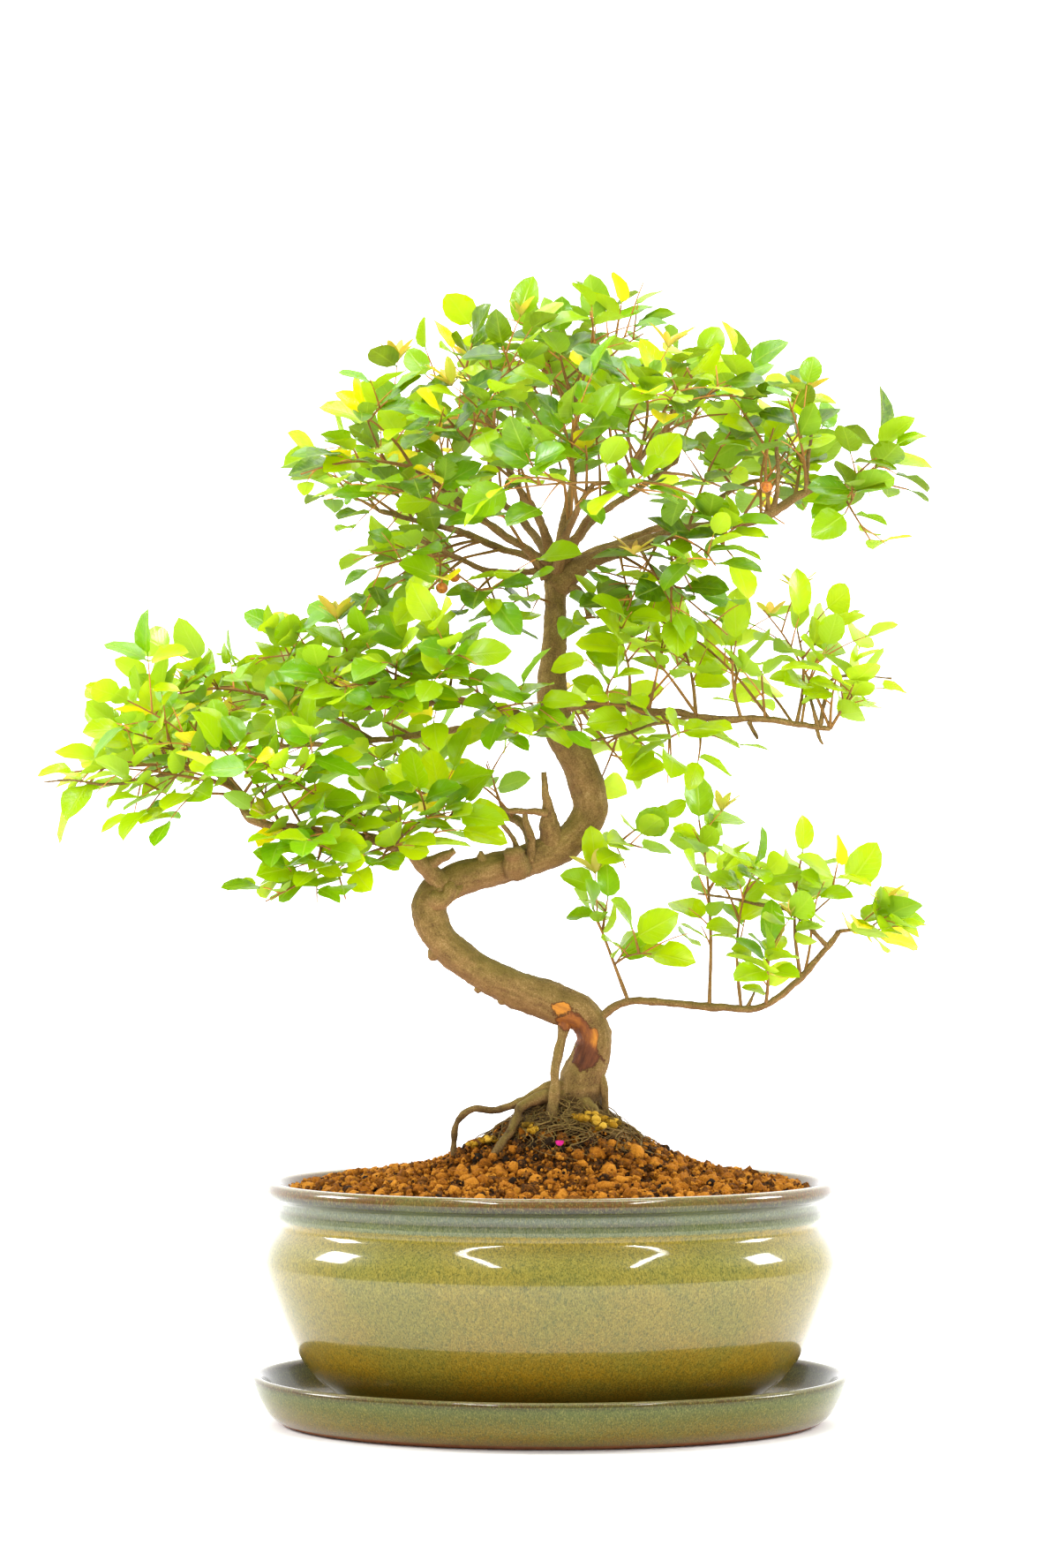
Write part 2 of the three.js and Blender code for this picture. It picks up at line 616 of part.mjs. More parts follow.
// A leaf points forward and to one side of its stem, and its upper face turns up and out
// from the trunk, as it does towards the light.
function makeLeaf(at, hand, pick) {
  const side = new THREE.Vector3().crossVectors(UP, at.tangent).normalize();
  const way = at.tangent.clone().multiplyScalar(hand === 0 ? 1 : LEAF_FORWARD);
  way.addScaledVector(side, hand * mix(LEAF_ASIDE[0], LEAF_ASIDE[1], pick(0)));
  way.addScaledVector(UP, mix(LEAF_RISE[0], LEAF_RISE[1], pick(1)));
  way.add(stray(pick, 2, LEAF_STRAY)).normalize();
  const out = new THREE.Vector3(at.point.x, at.point.y * 3, 0).normalize();
  const normal = UP.clone().multiplyScalar(FACE_UP).addScaledVector(out, FACE_OUT);
  normal.add(stray(pick, 5, FACE_STRAY));
  normal.addScaledVector(way, -normal.dot(way)).normalize();
  const length = mix(LEAF_LENGTH[0], LEAF_LENGTH[1], pick(8));
  return {
    base: at.point.clone(),
    way,
    normal,
    side: new THREE.Vector3().crossVectors(normal, way),
    length,
    width: length * mix(LEAF_SHARE[0], LEAF_SHARE[1], pick(9)),
  };
}

// A leaf keeps apart from the directions of what else stands at its foot.
function growLeaf(owner, at, hand, keys, apart) {
  for (let attempt = 0; attempt < LEAF_TRIES; attempt++) {
    const leaf = makeLeaf(at, hand, (index) => draw(...keys, attempt, index));
    if (apart.some((way) => leaf.way.dot(way) > LEAF_APART)) continue;
    const samples = LEAF_SAMPLES.map(([along, across]) => leafPoint(leaf, along, across));
    if (isFree(samples, KIND.leaf, owner)) {
      occupy(samples, KIND.leaf, owner);
      return leaf;
    }
  }
  return null;
}

// Sites for shoots stand evenly along the outer part of a stem.
function shootShares(line) {
  const count = Math.max(1, Math.round(lineLength(line) / SHOOT_STEP));
  const ranks = Array.from({ length: count }, (_, rank) => rank);
  return ranks.map((rank) => mix(SHOOT_SPAN[0], SHOOT_SPAN[1], (rank + 0.5) / count));
}

function growShoots(owner, stem, index) {
  const shoots = [];
  shootShares(stem.line).forEach((share, rank) => {
    const line = growShoot(owner, stem.line, share, [owner, index, 2, rank]);
    const twigs = line ? [newTwig(line)] : [];
    stem.sites.push({ share, twigs, leaves: [] });
    shoots.push(...twigs);
  });
  return shoots;
}

// One leaf closes the twig. A pair stands left and right at each of its sites,
// or one leaf opposite the shoot that stands there.
function growLeaves(owner, twig, keys) {
  twig.tipLeaf = growLeaf(owner, alongLine(twig.line, 1), 0, [...keys, 0], []);
  twig.sites.forEach((site, index) => {
    if (site.share === FORK_AT) return;
    const at = alongLine(twig.line, site.share);
    const apart = [at.tangent, ...site.twigs.map(startWay)];
    for (const hand of [-1, 1]) {
      if (site.twigs.length && hand * sideOf(site.twigs[0].line, at) > 0) continue;
      const leaf = growLeaf(owner, at, hand, [...keys, index + 1, hand + 1], apart);
      if (!leaf) continue;
      site.leaves.push(leaf);
      apart.push(leaf.way);
    }
  });
}

// Which side of a stem a twig goes to: above zero on the left, below zero on the right.
function sideOf(line, at) {
  const side = new THREE.Vector3().crossVectors(UP, at.tangent);
  return vector(line[line.length - 1]).sub(at.point).dot(side);
}

// All stems grow first, then all shoots, then the leaves, so that none is crowded out.
function growFoliage() {
  occupyLine(TRUNK, KIND.wood, -1, 3, true);
  for (const line of [...Object.values(LIMBS), ...ROOTS]) occupyLine(line, KIND.wood, -1, 2, true);
  const grown = SPRAYS.map((spray, owner) => ({ spray, owner, stems: growMainStems(spray, owner) }));
  for (const [, carrier, index, place] of FRUITS) {
    const plant = grown.find((one) => one.spray[0] === carrier);
    occupy([fruitCentre(plant.stems[index], place)], KIND.stem, -2, FRUIT_RADIUS);
  }
  for (const plant of grown) {
    plant.shoots = plant.stems.flatMap((stem, index) => growShoots(plant.owner, stem, index));
    for (const shoot of plant.shoots) shoot.sites.push({ share: SHOOT_SITE, twigs: [], leaves: [] });
  }
  for (const plant of grown) {
    [...plant.stems, ...plant.shoots].forEach((twig, index) => {
      growLeaves(plant.owner, twig, [plant.owner, 3, index]);
    });
  }
  return grown;
}

// A fruit hangs on the lower side of its stem, which runs straight from one site to the next.
function fruitCentre(stem, place) {
  const shares = [0, ...stem.sites.map((site) => site.share), ...shootShares(stem.line), 1];
  const low = Math.max(...shares.filter((share) => share <= place));
  const high = Math.min(...shares.filter((share) => share > place));
  const start = alongLine(stem.line, low).point;
  const chord = alongLine(stem.line, high).point.sub(start);
  const way = chord.clone().normalize();
  const down = UP.clone().negate().addScaledVector(way, way.z).normalize();
  const centre = start.addScaledVector(chord, (place - low) / (high - low));
  return centre.addScaledVector(down, alongLine(stem.line, place).radius + GAP + FRUIT_RADIUS);
}

// A spray's mesh is woven in one piece. Each twig is a tube of square rings, and a leaf or a
// twig that stands on it takes the place of one face of the tube, so its edges are shared.

class Weave {
  constructor() {
    this.points = [];
    this.faces = [];
  }

  add(point) {
    this.points.push(point.toArray());
    return this.points.length - 1;
  }

  quad(a, b, c, d) {
    this.faces.push([a, b, c], [a, c, d]);
  }

  // Four corners round a centre, counterclockwise about the frame's third axis.
  ring(centre, across, over, radius) {
    return CORNERS.map(([x, y]) => {
      const corner = centre.clone().addScaledVector(across, x * radius);
      return this.add(corner.addScaledVector(over, y * radius));
    });
  }

  middle(ring) {
    const sum = new THREE.Vector3();
    for (const index of ring) sum.add(vector(this.points[index]));
    return sum.divideScalar(ring.length);
  }

  // The turn of a ring that brings its corners nearest to the given directions.
  matched(ring, across, over) {
    const middle = this.middle(ring);
    let best = null;
    for (let turn = 0; turn < 4; turn++) {
      const turned = ring.map((_, i) => ring[(i + turn) % 4]);
      const fit = CORNERS.reduce((sum, [x, y], i) => {
        const arm = vector(this.points[turned[i]]).sub(middle);
        return sum + x * arm.dot(across) + y * arm.dot(over);
      }, 0);
      if (!best || fit > best.fit) best = { fit, turned };
    }
    return best.turned;
  }

  leaf(ring, leaf) {
    const [upLeft, upRight, downRight, downLeft] = this.matched(ring, leaf.side, leaf.normal);
    const edge = (above) => OUTLINE.map(([u, v]) => this.add(leafPoint(leaf, u, v, above)));
    const top = [upRight, ...edge(LEAF_THICKNESS / 2), upLeft];
    const under = [downRight, ...edge(-LEAF_THICKNESS / 2), downLeft];
    for (const [a, b, c] of BLADE_TRIANGLES) {
      this.faces.push([top[a], top[b], top[c]], [under[a], under[c], under[b]]);
    }
    for (let i = 0; i + 1 < top.length; i++) this.quad(under[i], under[i + 1], top[i + 1], top[i]);
  }

  // Joins two rings by four faces and returns the free faces that the children stand on.
  stitch(low, high, children) {
    const free = [0, 1, 2, 3];
    const centre = this.middle([...low, ...high]);
    const taken = children.map((way) => {
      const rank = free.map((side) => {
        const face = [low[side], low[(side + 1) % 4], high[(side + 1) % 4], high[side]];
        return { side, face, fit: this.middle(face).sub(centre).normalize().dot(way) };
      });
      const best = rank.reduce((a, b) => (b.fit > a.fit ? b : a));
      free.splice(free.indexOf(best.side), 1);
      return best.face;
    });
    for (const side of free) {
      const next = (side + 1) % 4;
      this.quad(low[side], low[next], high[next], high[side]);
    }
    return taken;
  }

  // A tube along a twig from a base ring, or from a closed end at a share of its line.
  twig(twig, base, from) {
    const length = lineLength(twig.line);
    let last = base;
    let across = null;
    const ringAt = (share) => {
      const at = alongLine(twig.line, share);
      const guide = across ?? new THREE.Vector3().crossVectors(UP, at.tangent);
      across = guide.clone().addScaledVector(at.tangent, -guide.dot(at.tangent)).normalize();
      const over = new THREE.Vector3().crossVectors(at.tangent, across);
      if (base && last === base) last = this.matched(base, across, over);
      return this.ring(at.point, across, over, at.radius);
    };
    if (!base) {
      last = ringAt(from);
      this.quad(last[3], last[2], last[1], last[0]);
    }
    const advance = (share, children) => {
      const next = ringAt(share);
      const faces = this.stitch(last, next, children);
      last = next;
      return faces;
    };
    if (base) advance(from, []);
    const half = SITE_LENGTH / 2 / length;
    for (const site of [...twig.sites].sort((a, b) => a.share - b.share)) {
      if (!site.twigs.length && !site.leaves.length) continue;
      advance(site.share - half, []);
      const ways = [...site.twigs.map(startWay), ...site.leaves.map((leaf) => leaf.way)];
      const faces = advance(site.share + half, ways);
      site.twigs.forEach((child, i) => this.twig(child, faces[i], TWIG_START / lineLength(child.line)));
      site.leaves.forEach((leaf, i) => this.leaf(faces[site.twigs.length + i], leaf));
    }
    advance(1, []);
    if (twig.tipLeaf) this.leaf(last, twig.tipLeaf);
    else this.quad(...last);
  }
}

// Corners of a blade: 0 and 6 at its foot, 3 at its tip. It folds along the lines to the tip.
const BLADE_TRIANGLES = [
  [0, 1, 2],
  [0, 2, 3],
  [0, 3, 6],
  [6, 3, 4],
  [6, 4, 5],
];

const CORNERS = [
  [0.7, 0.7],
  [-0.7, 0.7],
  [-0.7, -0.7],
  [0.7, -0.7],
];

function startWay(twig) {
  return alongLine(twig.line, 0.1).tangent;
}

// The first share of a stem at which its square end clears the flat-sided limb that carries it.
function clearOfLimb(stem, limb) {
  const line = limbLine(limb);
  const steps = limb === 'trunk' ? TRUNK_SHAPE[1] : limbSteps(line);
  const end = alongLine(line, 1);
  const samples = [];
  for (let step = 0; step < steps; step++) {
    const low = alongLine(line, step / steps);
    const high = alongLine(line, (step + 1) / steps);
    for (let share = 0; share < 1; share += 0.02) {
      const point = low.point.clone().lerp(high.point, share);
      if (point.distanceTo(end.point) <= 0.5 * end.radius) continue;
      samples.push({ point, radius: mix(low.radius, high.radius, share) });
    }
  }
  const room = (point) => Math.min(...samples.map((one) => one.point.distanceTo(point) - one.radius));
  let share = 0;
  while (share < FORK_AT) {
    const at = alongLine(stem, share);
    const across = new THREE.Vector3().crossVectors(UP, at.tangent).normalize();
    const over = new THREE.Vector3().crossVectors(at.tangent, across);
    const corners = CORNERS.map(([x, y]) => {
      const corner = at.point.clone().addScaledVector(across, x * at.radius);
      return corner.addScaledVector(over, y * at.radius);
    });
    if (Math.min(...[at.point, ...corners].map(room)) > GAP) return share;
    share += START_STEP;
  }
  return share;
}

function sprayGeometry(plant) {
  const weave = new Weave();
  weave.twig(plant.stems[0], null, clearOfLimb(plant.stems[0].line, plant.spray[1]));
  return closedGeometry(weave.points, weave.faces);
}

// Pieces

function potSolid() {
  const outside = [
    [0, POT_UNDERSIDE],
    [88, POT_UNDERSIDE],
    [101, 18.5],
    [109, 29],
    [116.5, 42],
    [122, 56],
    [POT_HALF, 67],
    [124, 75],
    [118.6, 83],
    [118.4, 94],
    [125.2, 98.5],
    [125.2, 104],
    [122, 106],
    [118.5, 104.5],
  ];
  const inside = [
    [115, 84],
    [118.5, 68],
    [113, 46],
    [99, 26],
    [84, POT_FLOOR],
    [0, POT_FLOOR],
  ];
  let pot = ovalSolid([...outside, ...inside], POT_INSET);
  const footHeight = POT_UNDERSIDE - TRAY_FLOOR - GAP;
  for (const x of [-FOOT_AT[0], FOOT_AT[0]]) {
    for (const y of [-FOOT_AT[1], FOOT_AT[1]]) {
      const foot = new THREE.CylinderGeometry(FOOT_RADIUS + 1, FOOT_RADIUS, footHeight + 2, 10);
      foot.rotateX(Math.PI / 2);
      foot.translate(x, y, TRAY_FLOOR + GAP + footHeight / 2 + 1);
      pot = pot.add(solidOf(foot));
    }
  }
  for (const x of [-DRAIN_AT, DRAIN_AT]) {
    const drain = new THREE.CylinderGeometry(DRAIN_RADIUS, DRAIN_RADIUS, 20, 10);
    drain.rotateX(Math.PI / 2);
    drain.translate(x, 0, (POT_FLOOR + POT_UNDERSIDE) / 2);
    pot = pot.subtract(solidOf(drain));
  }
  return pot;
}

function traySolid() {
  const outside = [
    [0, 0],
    [114, 0],
    [119, 1.5],
    [124.5, 6.5],
    [128, 12.5],
    [TRAY_HALF, 18.5],
    [130.2, 21],
    [128, 21.6],
  ];
  const inside = [
    [125.5, 19.5],
    [121, 11],
    [113, TRAY_FLOOR],
    [0, TRAY_FLOOR],
  ];
  return ovalSolid([...outside, ...inside], TRAY_INSET);
}

function soilHeight(x, y, edgeShare) {
  const crown = SOIL_CROWN * (1 - edgeShare ** 4);
  const reach = ((x - MOUND_AT) / MOUND_REACH[0]) ** 2 + (y / MOUND_REACH[1]) ** 2;
  return SOIL_EDGE + crown + MOUND_HEIGHT * Math.exp(-reach);
}

// The soil fills the pot, with a rough surface and plain holes for the trunk and the roots.
function soilSolid(holes) {
  const points = [];
  const bottom = POT_FLOOR + 2 * GAP;
  const below = [
    [83.3, bottom],
    [112.2, 46.3],
    [114.4, 84],
    [SOIL_HALF, SOIL_EDGE],
  ];
  const ring = (half, heightAt) => {
    for (let side = 0; side < OVAL_SIDES; side++) {
      const turn = (side / OVAL_SIDES) * 2 * Math.PI;
      const depth = half - POT_INSET * Math.min(1, half / SOIL_OVAL);
      const x = half * Math.cos(turn);
      const y = depth * Math.sin(turn);
      points.push([x, y, heightAt(x, y, side)]);
    }
  };
  points.push([0, 0, bottom]);
  for (const [half, z] of below) ring(half, () => z);
  for (let row = 1; row < SOIL_RINGS; row++) {
    const share = 1 - row / SOIL_RINGS;
    const rough = (side) => GRAIN_RELIEF * (2 * draw(7, row, side) - 1);
    ring(SOIL_HALF * share, (x, y, side) => soilHeight(x, y, share) + rough(side));
  }
  points.push([0, 0, soilHeight(0, 0, 0)]);
  const faces = [];
  const rows = (points.length - 2) / OVAL_SIDES;
  const last = points.length - 1;
  const at = (row, side) => 1 + row * OVAL_SIDES + (side % OVAL_SIDES);
  for (let side = 0; side < OVAL_SIDES; side++) {
    faces.push([0, at(0, side + 1), at(0, side)]);
    for (let row = 0; row + 1 < rows; row++) {
      faces.push([at(row, side), at(row, side + 1), at(row + 1, side + 1)]);
      faces.push([at(row, side), at(row + 1, side + 1), at(row + 1, side)]);
    }
    faces.push([at(rows - 1, side), at(rows - 1, side + 1), last]);
  }
  return largestBody(solidOf(closedGeometry(points, faces)).subtract(holes));
}

// Sides, steps, and the share of the radius that knobs stand out
const TRUNK_SHAPE = [9, 38, 0.035];
const ROOT_SHAPE = [5, 7, 0.05];
const LIMB_SIDES = 5;
const LIMB_STEP = 19;

function limbSteps(line) {
  return Math.max(4, Math.round(lineLength(line) / LIMB_STEP));
}

function woodSolid() {
  const trunk = tubeSolid(TRUNK, ...TRUNK_SHAPE);
  const roots = ROOTS.map((line) => tubeSolid(line, ...ROOT_SHAPE));
  const limbs = Object.values(LIMBS).map((line) => tubeSolid(line, LIMB_SIDES, limbSteps(line)));
  return joined([trunk, ...roots, ...limbs]);
}

function rootHoles() {
  const gap = GAP + 0.1;
  const holes = ROOTS.map((line) => tubeSolid(line, ...ROOT_SHAPE, gap));
  return joined([tubeSolid(TRUNK, ...TRUNK_SHAPE, gap), ...holes]);
}

function namedMesh(name, solid, color, roughness) {
  const material = new THREE.MeshStandardMaterial({ color, roughness, metalness: 0 });
  const mesh = new THREE.Mesh(geometryOf(solid), material);
  mesh.name = name;
  return mesh;
}

const bonsai = new THREE.Group();
bonsai.add(namedMesh('drip_tray', traySolid(), 0x8f8d52, 0.2));
bonsai.add(namedMesh('pot', potSolid(), 0xa89a45, 0.2));
bonsai.add(namedMesh('soil', soilSolid(rootHoles()), 0xa55a22, 0.95));
bonsai.add(namedMesh('tree_wood', woodSolid(), 0x8f6f48, 0.8));

const plants = growFoliage();
for (const plant of plants) {
  bonsai.add(namedMesh(plant.spray[0], solidOf(sprayGeometry(plant)), 0x6fae2c, 0.45));
}
for (const [name, carrier, index, place] of FRUITS) {
  const plant = plants.find((one) => one.spray[0] === carrier);
  const ball = new THREE.SphereGeometry(FRUIT_RADIUS, 8, 6);
  const centre = fruitCentre(plant.stems[index], place);
  ball.translate(centre.x, centre.y, centre.z);
  bonsai.add(namedMesh(name, solidOf(ball), 0xc9741c, 0.4));
}

export default bonsai;
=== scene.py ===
"""Sweet plum bonsai in a glazed oval pot on its drip tray: the finished look.

Lengths in the tables are millimetres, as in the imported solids, and every mesh is in metres.
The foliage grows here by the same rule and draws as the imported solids, so that each finer
spray stands where its node stands, and more shoots and leaves then fill the crown.
"""

import json
import logging
import math
from dataclasses import dataclass, field
from enum import Enum, IntEnum
from typing import Callable, Sequence

import bpy
import numpy as np
from mathutils import Matrix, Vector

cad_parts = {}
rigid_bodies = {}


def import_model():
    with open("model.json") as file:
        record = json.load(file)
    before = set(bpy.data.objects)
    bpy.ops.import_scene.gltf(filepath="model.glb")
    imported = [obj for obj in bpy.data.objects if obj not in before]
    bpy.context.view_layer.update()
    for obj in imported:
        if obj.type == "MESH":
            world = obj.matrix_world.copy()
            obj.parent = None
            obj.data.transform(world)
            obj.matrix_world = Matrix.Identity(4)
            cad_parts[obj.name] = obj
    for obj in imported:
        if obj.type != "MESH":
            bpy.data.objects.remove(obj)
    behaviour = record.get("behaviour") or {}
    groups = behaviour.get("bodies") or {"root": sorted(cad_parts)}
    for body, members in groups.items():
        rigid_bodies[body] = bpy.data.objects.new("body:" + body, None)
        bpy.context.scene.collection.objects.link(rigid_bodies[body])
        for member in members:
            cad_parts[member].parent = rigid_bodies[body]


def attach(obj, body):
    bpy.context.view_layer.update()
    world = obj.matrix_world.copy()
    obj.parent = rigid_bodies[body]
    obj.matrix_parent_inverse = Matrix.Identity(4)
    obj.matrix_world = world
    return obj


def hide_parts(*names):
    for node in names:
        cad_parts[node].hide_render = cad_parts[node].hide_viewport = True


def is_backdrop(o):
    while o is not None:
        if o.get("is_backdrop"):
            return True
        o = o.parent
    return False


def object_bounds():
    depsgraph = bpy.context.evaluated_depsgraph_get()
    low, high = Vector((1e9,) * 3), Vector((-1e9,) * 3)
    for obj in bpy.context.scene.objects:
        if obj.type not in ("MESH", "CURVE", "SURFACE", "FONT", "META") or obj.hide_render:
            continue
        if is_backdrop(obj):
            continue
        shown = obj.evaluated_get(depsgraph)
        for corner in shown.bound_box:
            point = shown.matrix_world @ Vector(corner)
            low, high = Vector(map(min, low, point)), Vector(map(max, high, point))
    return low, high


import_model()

LOG = logging.getLogger("bonsai")
MM = 0.001
SEED = 2014
UP = np.array([0.0, 0.0, 1.0])
Vec = np.ndarray
Pair = tuple[float, float]
Triple = tuple[float, float, float]
Colour = tuple[float, float, float, float]
Surface = tuple[Vec, list[Vec]]
Keys = tuple[int, ...]
Draw = Callable[[int], float]
Piece = bpy.types.Object
Material = bpy.types.Material
Socket = bpy.types.NodeSocket

# The trunk from its foot in the soil to the fork below the crown: x, y, z, radius
TRUNK = [
    (10, 0, 110, 12.5), (11, 0, 124, 12), (12, 0, 134.9, 10.5), (14, 0, 150, 9.5),
    (17, 0, 159, 8.5), (19.4, 0, 168.6, 7.9), (14.7, -1, 178.3, 8.1), (2.3, -3, 183.7, 8.3),
    (-10.5, -5, 188.4, 8.1), (-25.6, -7, 194.6, 7.6), (-38.4, -8, 203.1, 7.4),
    (-50, -8, 215.5, 7.4), (-52.7, -7, 227.9, 7.4), (-44.2, -4, 236, 7.4),
    (-30.6, 0, 241.1, 7.4), (-9.3, 4, 246.5, 7.4), (8.1, 7, 254.3, 7.2), (17.8, 8, 268.2, 7.2),
    (14.3, 6, 285.7, 7.6), (5.4, 3, 301.6, 7.4), (1.2, 1, 317.8, 6.8), (1.6, 0, 337.2, 5.2),
    (2.7, 0, 356.6, 4.8), (2.9, 0, 374, 5), (3, 0, 382, 3.4),
]

# Surface roots, from inside the trunk down into the soil
ROOTS = [
    [(7, -3, 180, 2.6), (5.4, -7, 170, 2.3), (2.6, -10, 158, 2), (1.8, -11, 148, 2.2),
     (1, -13, 138, 2.8), (0, -15, 126, 3)],
    [(12, -2, 146, 3.4), (-0.4, -5, 147, 2.4), (-8, -6, 143.4, 1.9), (-14.7, -7, 140.3, 1.8),
     (-25.6, -8, 137.6, 1.6), (-33.3, -9, 138, 1.6), (-38.4, -9, 135.3, 1.6),
     (-41.1, -9, 130.6, 1.5), (-41.8, -9, 124, 1.5), (-42, -9, 112, 1.4)],
    [(8, -4, 143, 3), (-5, -9, 142.5, 2.4), (-13, -12, 139, 2.1), (-15, -15, 134.5, 2),
     (-17.5, -19, 129, 1.9), (-23, -24, 121.5, 1.7), (-27, -27, 113, 1.6)],
    [(18, -2, 158, 2), (22.6, -3, 151, 1.6), (24.3, -4, 141, 1.5), (25, -5, 124, 1.5)],
    [(14, -6, 139, 3.2), (23, -13, 131, 2.2), (31, -19, 122, 1.8), (37, -24, 113, 1.5)],
    [(10, 6, 139, 3.4), (3, 15, 131.5, 2.3), (-4, 24, 122, 1.9), (-8, 30, 111, 1.6)],
    [(16, 5, 139, 3.2), (28, 12, 130, 2.2), (38, 17, 120.5, 1.8), (44, 20, 109, 1.5)],
]

# Main limbs, from inside the trunk or a thicker limb to their ends
LIMBS = {
    "low_right": [(17, -1, 172, 2.2), (24, -3, 179.1, 1.9), (31, -4, 183.3, 1.8),
        (41.9, -6, 184.9, 1.7), (65.5, -9, 182.9, 1.7), (83.3, -12, 181.8, 1.6),
        (92.2, -14, 182.9, 1.6), (101.2, -15, 188.4, 1.6), (110.9, -15, 197.3, 1.5),
        (120.9, -14, 208.9, 1.4), (126, -13, 215.5, 1.1)],
    "left_low": [(-43, -5, 232, 4.4), (-48.1, -8, 236.4, 4.3), (-55, -12, 245, 3.9),
        (-62.4, -16, 251.2, 3.1), (-71.3, -20, 253.9, 2.6), (-86.8, -26, 257, 2.3),
        (-104.3, -29, 259.3, 2.3), (-117.8, -29, 260.5, 2.1), (-130.2, -27, 265.5, 2.1),
        (-134.5, -24, 273.6, 1.9), (-139, -20, 281, 1.7), (-146, -16, 288, 1.4)],
    "left_high": [(4, 2, 303, 2.4), (-5, -2, 305, 2.3), (-17.1, -7, 311.6, 2.1),
        (-32.2, -11, 314.3, 1.9), (-44.6, -13, 315.9, 1.8), (-63.6, -14, 314, 1.6),
        (-80.6, -13, 313.2, 1.4), (-99.2, -11, 314.7, 1.2), (-116.7, -8, 315.5, 1)],
    "left_high_back": [(3, 4, 306, 2.4), (-10, 18, 307, 1.9), (-33, 32, 306, 1.7),
        (-60, 42, 302, 1.5), (-92, 48, 299, 1.3), (-124, 50, 297, 1.1), (-146, 50, 296, 1)],
    "left_back": [(-7, 5, 248, 2.4), (-8.5, 13, 255.4, 2.3), (-12, 20, 262, 2.1),
        (-20, 27, 266, 1.9), (-34, 35, 270, 1.5), (-52, 42, 274, 1.1)],
    "dead_stub": [(1, 4, 253, 3.6), (-0.8, -1, 265.5, 2.7), (-1.6, -4, 275.2, 1.8),
        (-2.7, -5, 285, 1.2)],
    "mid_right": [(3, 1, 313, 2.3), (8.9, -1, 314.3, 2), (20.5, -3, 314.3, 1.9),
        (39.9, -6, 312.4, 1.8), (54.3, -8, 310.5, 1.7), (73.6, -10, 308.5, 1.6),
        (89.9, -11, 307.8, 1.5), (102.7, -11, 306.6, 1.4), (115.1, -10, 304.7, 1.2),
        (122.5, -9, 303.9, 1)],
    "crown_right": [(3, 0, 368, 4), (12.4, -4, 374.4, 3.6), (27.1, -9, 381, 3.3),
        (40.3, -13, 384.1, 3.1), (56.2, -17, 389.5, 2.7), (78.7, -20, 392.6, 2.3),
        (92.2, -20, 395.7, 2.1), (102.7, -18, 401.9, 1.9), (113.2, -15, 407, 1.7),
        (127, -12, 408.5, 1.2)],
    "crown_right_back": [(4, 1, 371, 2.5), (10.1, 5, 377.9, 2.1), (21.7, 11, 383.3, 1.9),
        (47.7, 22, 393.4, 1.6), (64.3, 29, 398.8, 1.4), (78.7, 35, 410.1, 1.2),
        (92.2, 39, 416.3, 1)],
    "crown_left_front": [(3, 0, 374, 2.5), (-2.3, -3, 377.1, 2.1), (-10.1, -8, 382.2, 1.9),
        (-20.2, -14, 388.4, 1.7), (-31.4, -19, 396.1, 1.6), (-46.1, -24, 407, 1.3),
        (-59.7, -27, 416.7, 1)],
    "crown_left_back": [(3, 1, 373, 2.4), (-9, 8, 380, 1.8), (-23, 14, 385, 1.6),
        (-40, 20, 392, 1.5), (-58, 24, 397, 1.2), (-76, 26, 402, 1)],
    "crown_fruit": [(2, 0, 371, 2), (-3, -4, 372.9, 1.6), (-22.9, -12, 372.1, 1.4),
        (-38, -18, 377.1, 1.2), (-48.5, -23, 381.8, 1.1), (-56.6, -27, 385.3, 1)],
    "crown_up_left": [(2, -1, 375, 2.6), (-4, -12, 393, 1.9), (-14, -22, 410, 1.6),
        (-23, -28, 428, 1.3), (-30, -30, 443, 1)],
    "crown_up": [(3, 1, 375, 3), (7, 4, 398, 1.9), (11, 6, 419, 1.6), (12, 4, 440, 1.3),
        (11, 2, 456, 1)],
    "crown_up_right": [(4, -1, 375, 2.6), (15, -12, 393, 1.9), (29, -22, 410, 1.6),
        (44, -28, 426, 1.3), (55, -28, 439, 1)],
    "crown_back_right": [(4, 1, 373, 2.6), (12, 20, 389, 1.9), (27, 36, 404, 1.6),
        (45, 50, 417, 1.3), (58, 58, 427, 1)],
    "crown_back_left": [(2, 1, 373, 2.6), (-6, 20, 390, 1.9), (-20, 38, 405, 1.6),
        (-35, 52, 417, 1.3), (-47, 60, 426, 1)],
    "crown_front": [(3, -1, 371, 2.4), (6, -20, 384, 1.9), (10, -38, 393, 1.6), (14, -54, 401, 1.3),
        (18, -64, 406, 1)],
}

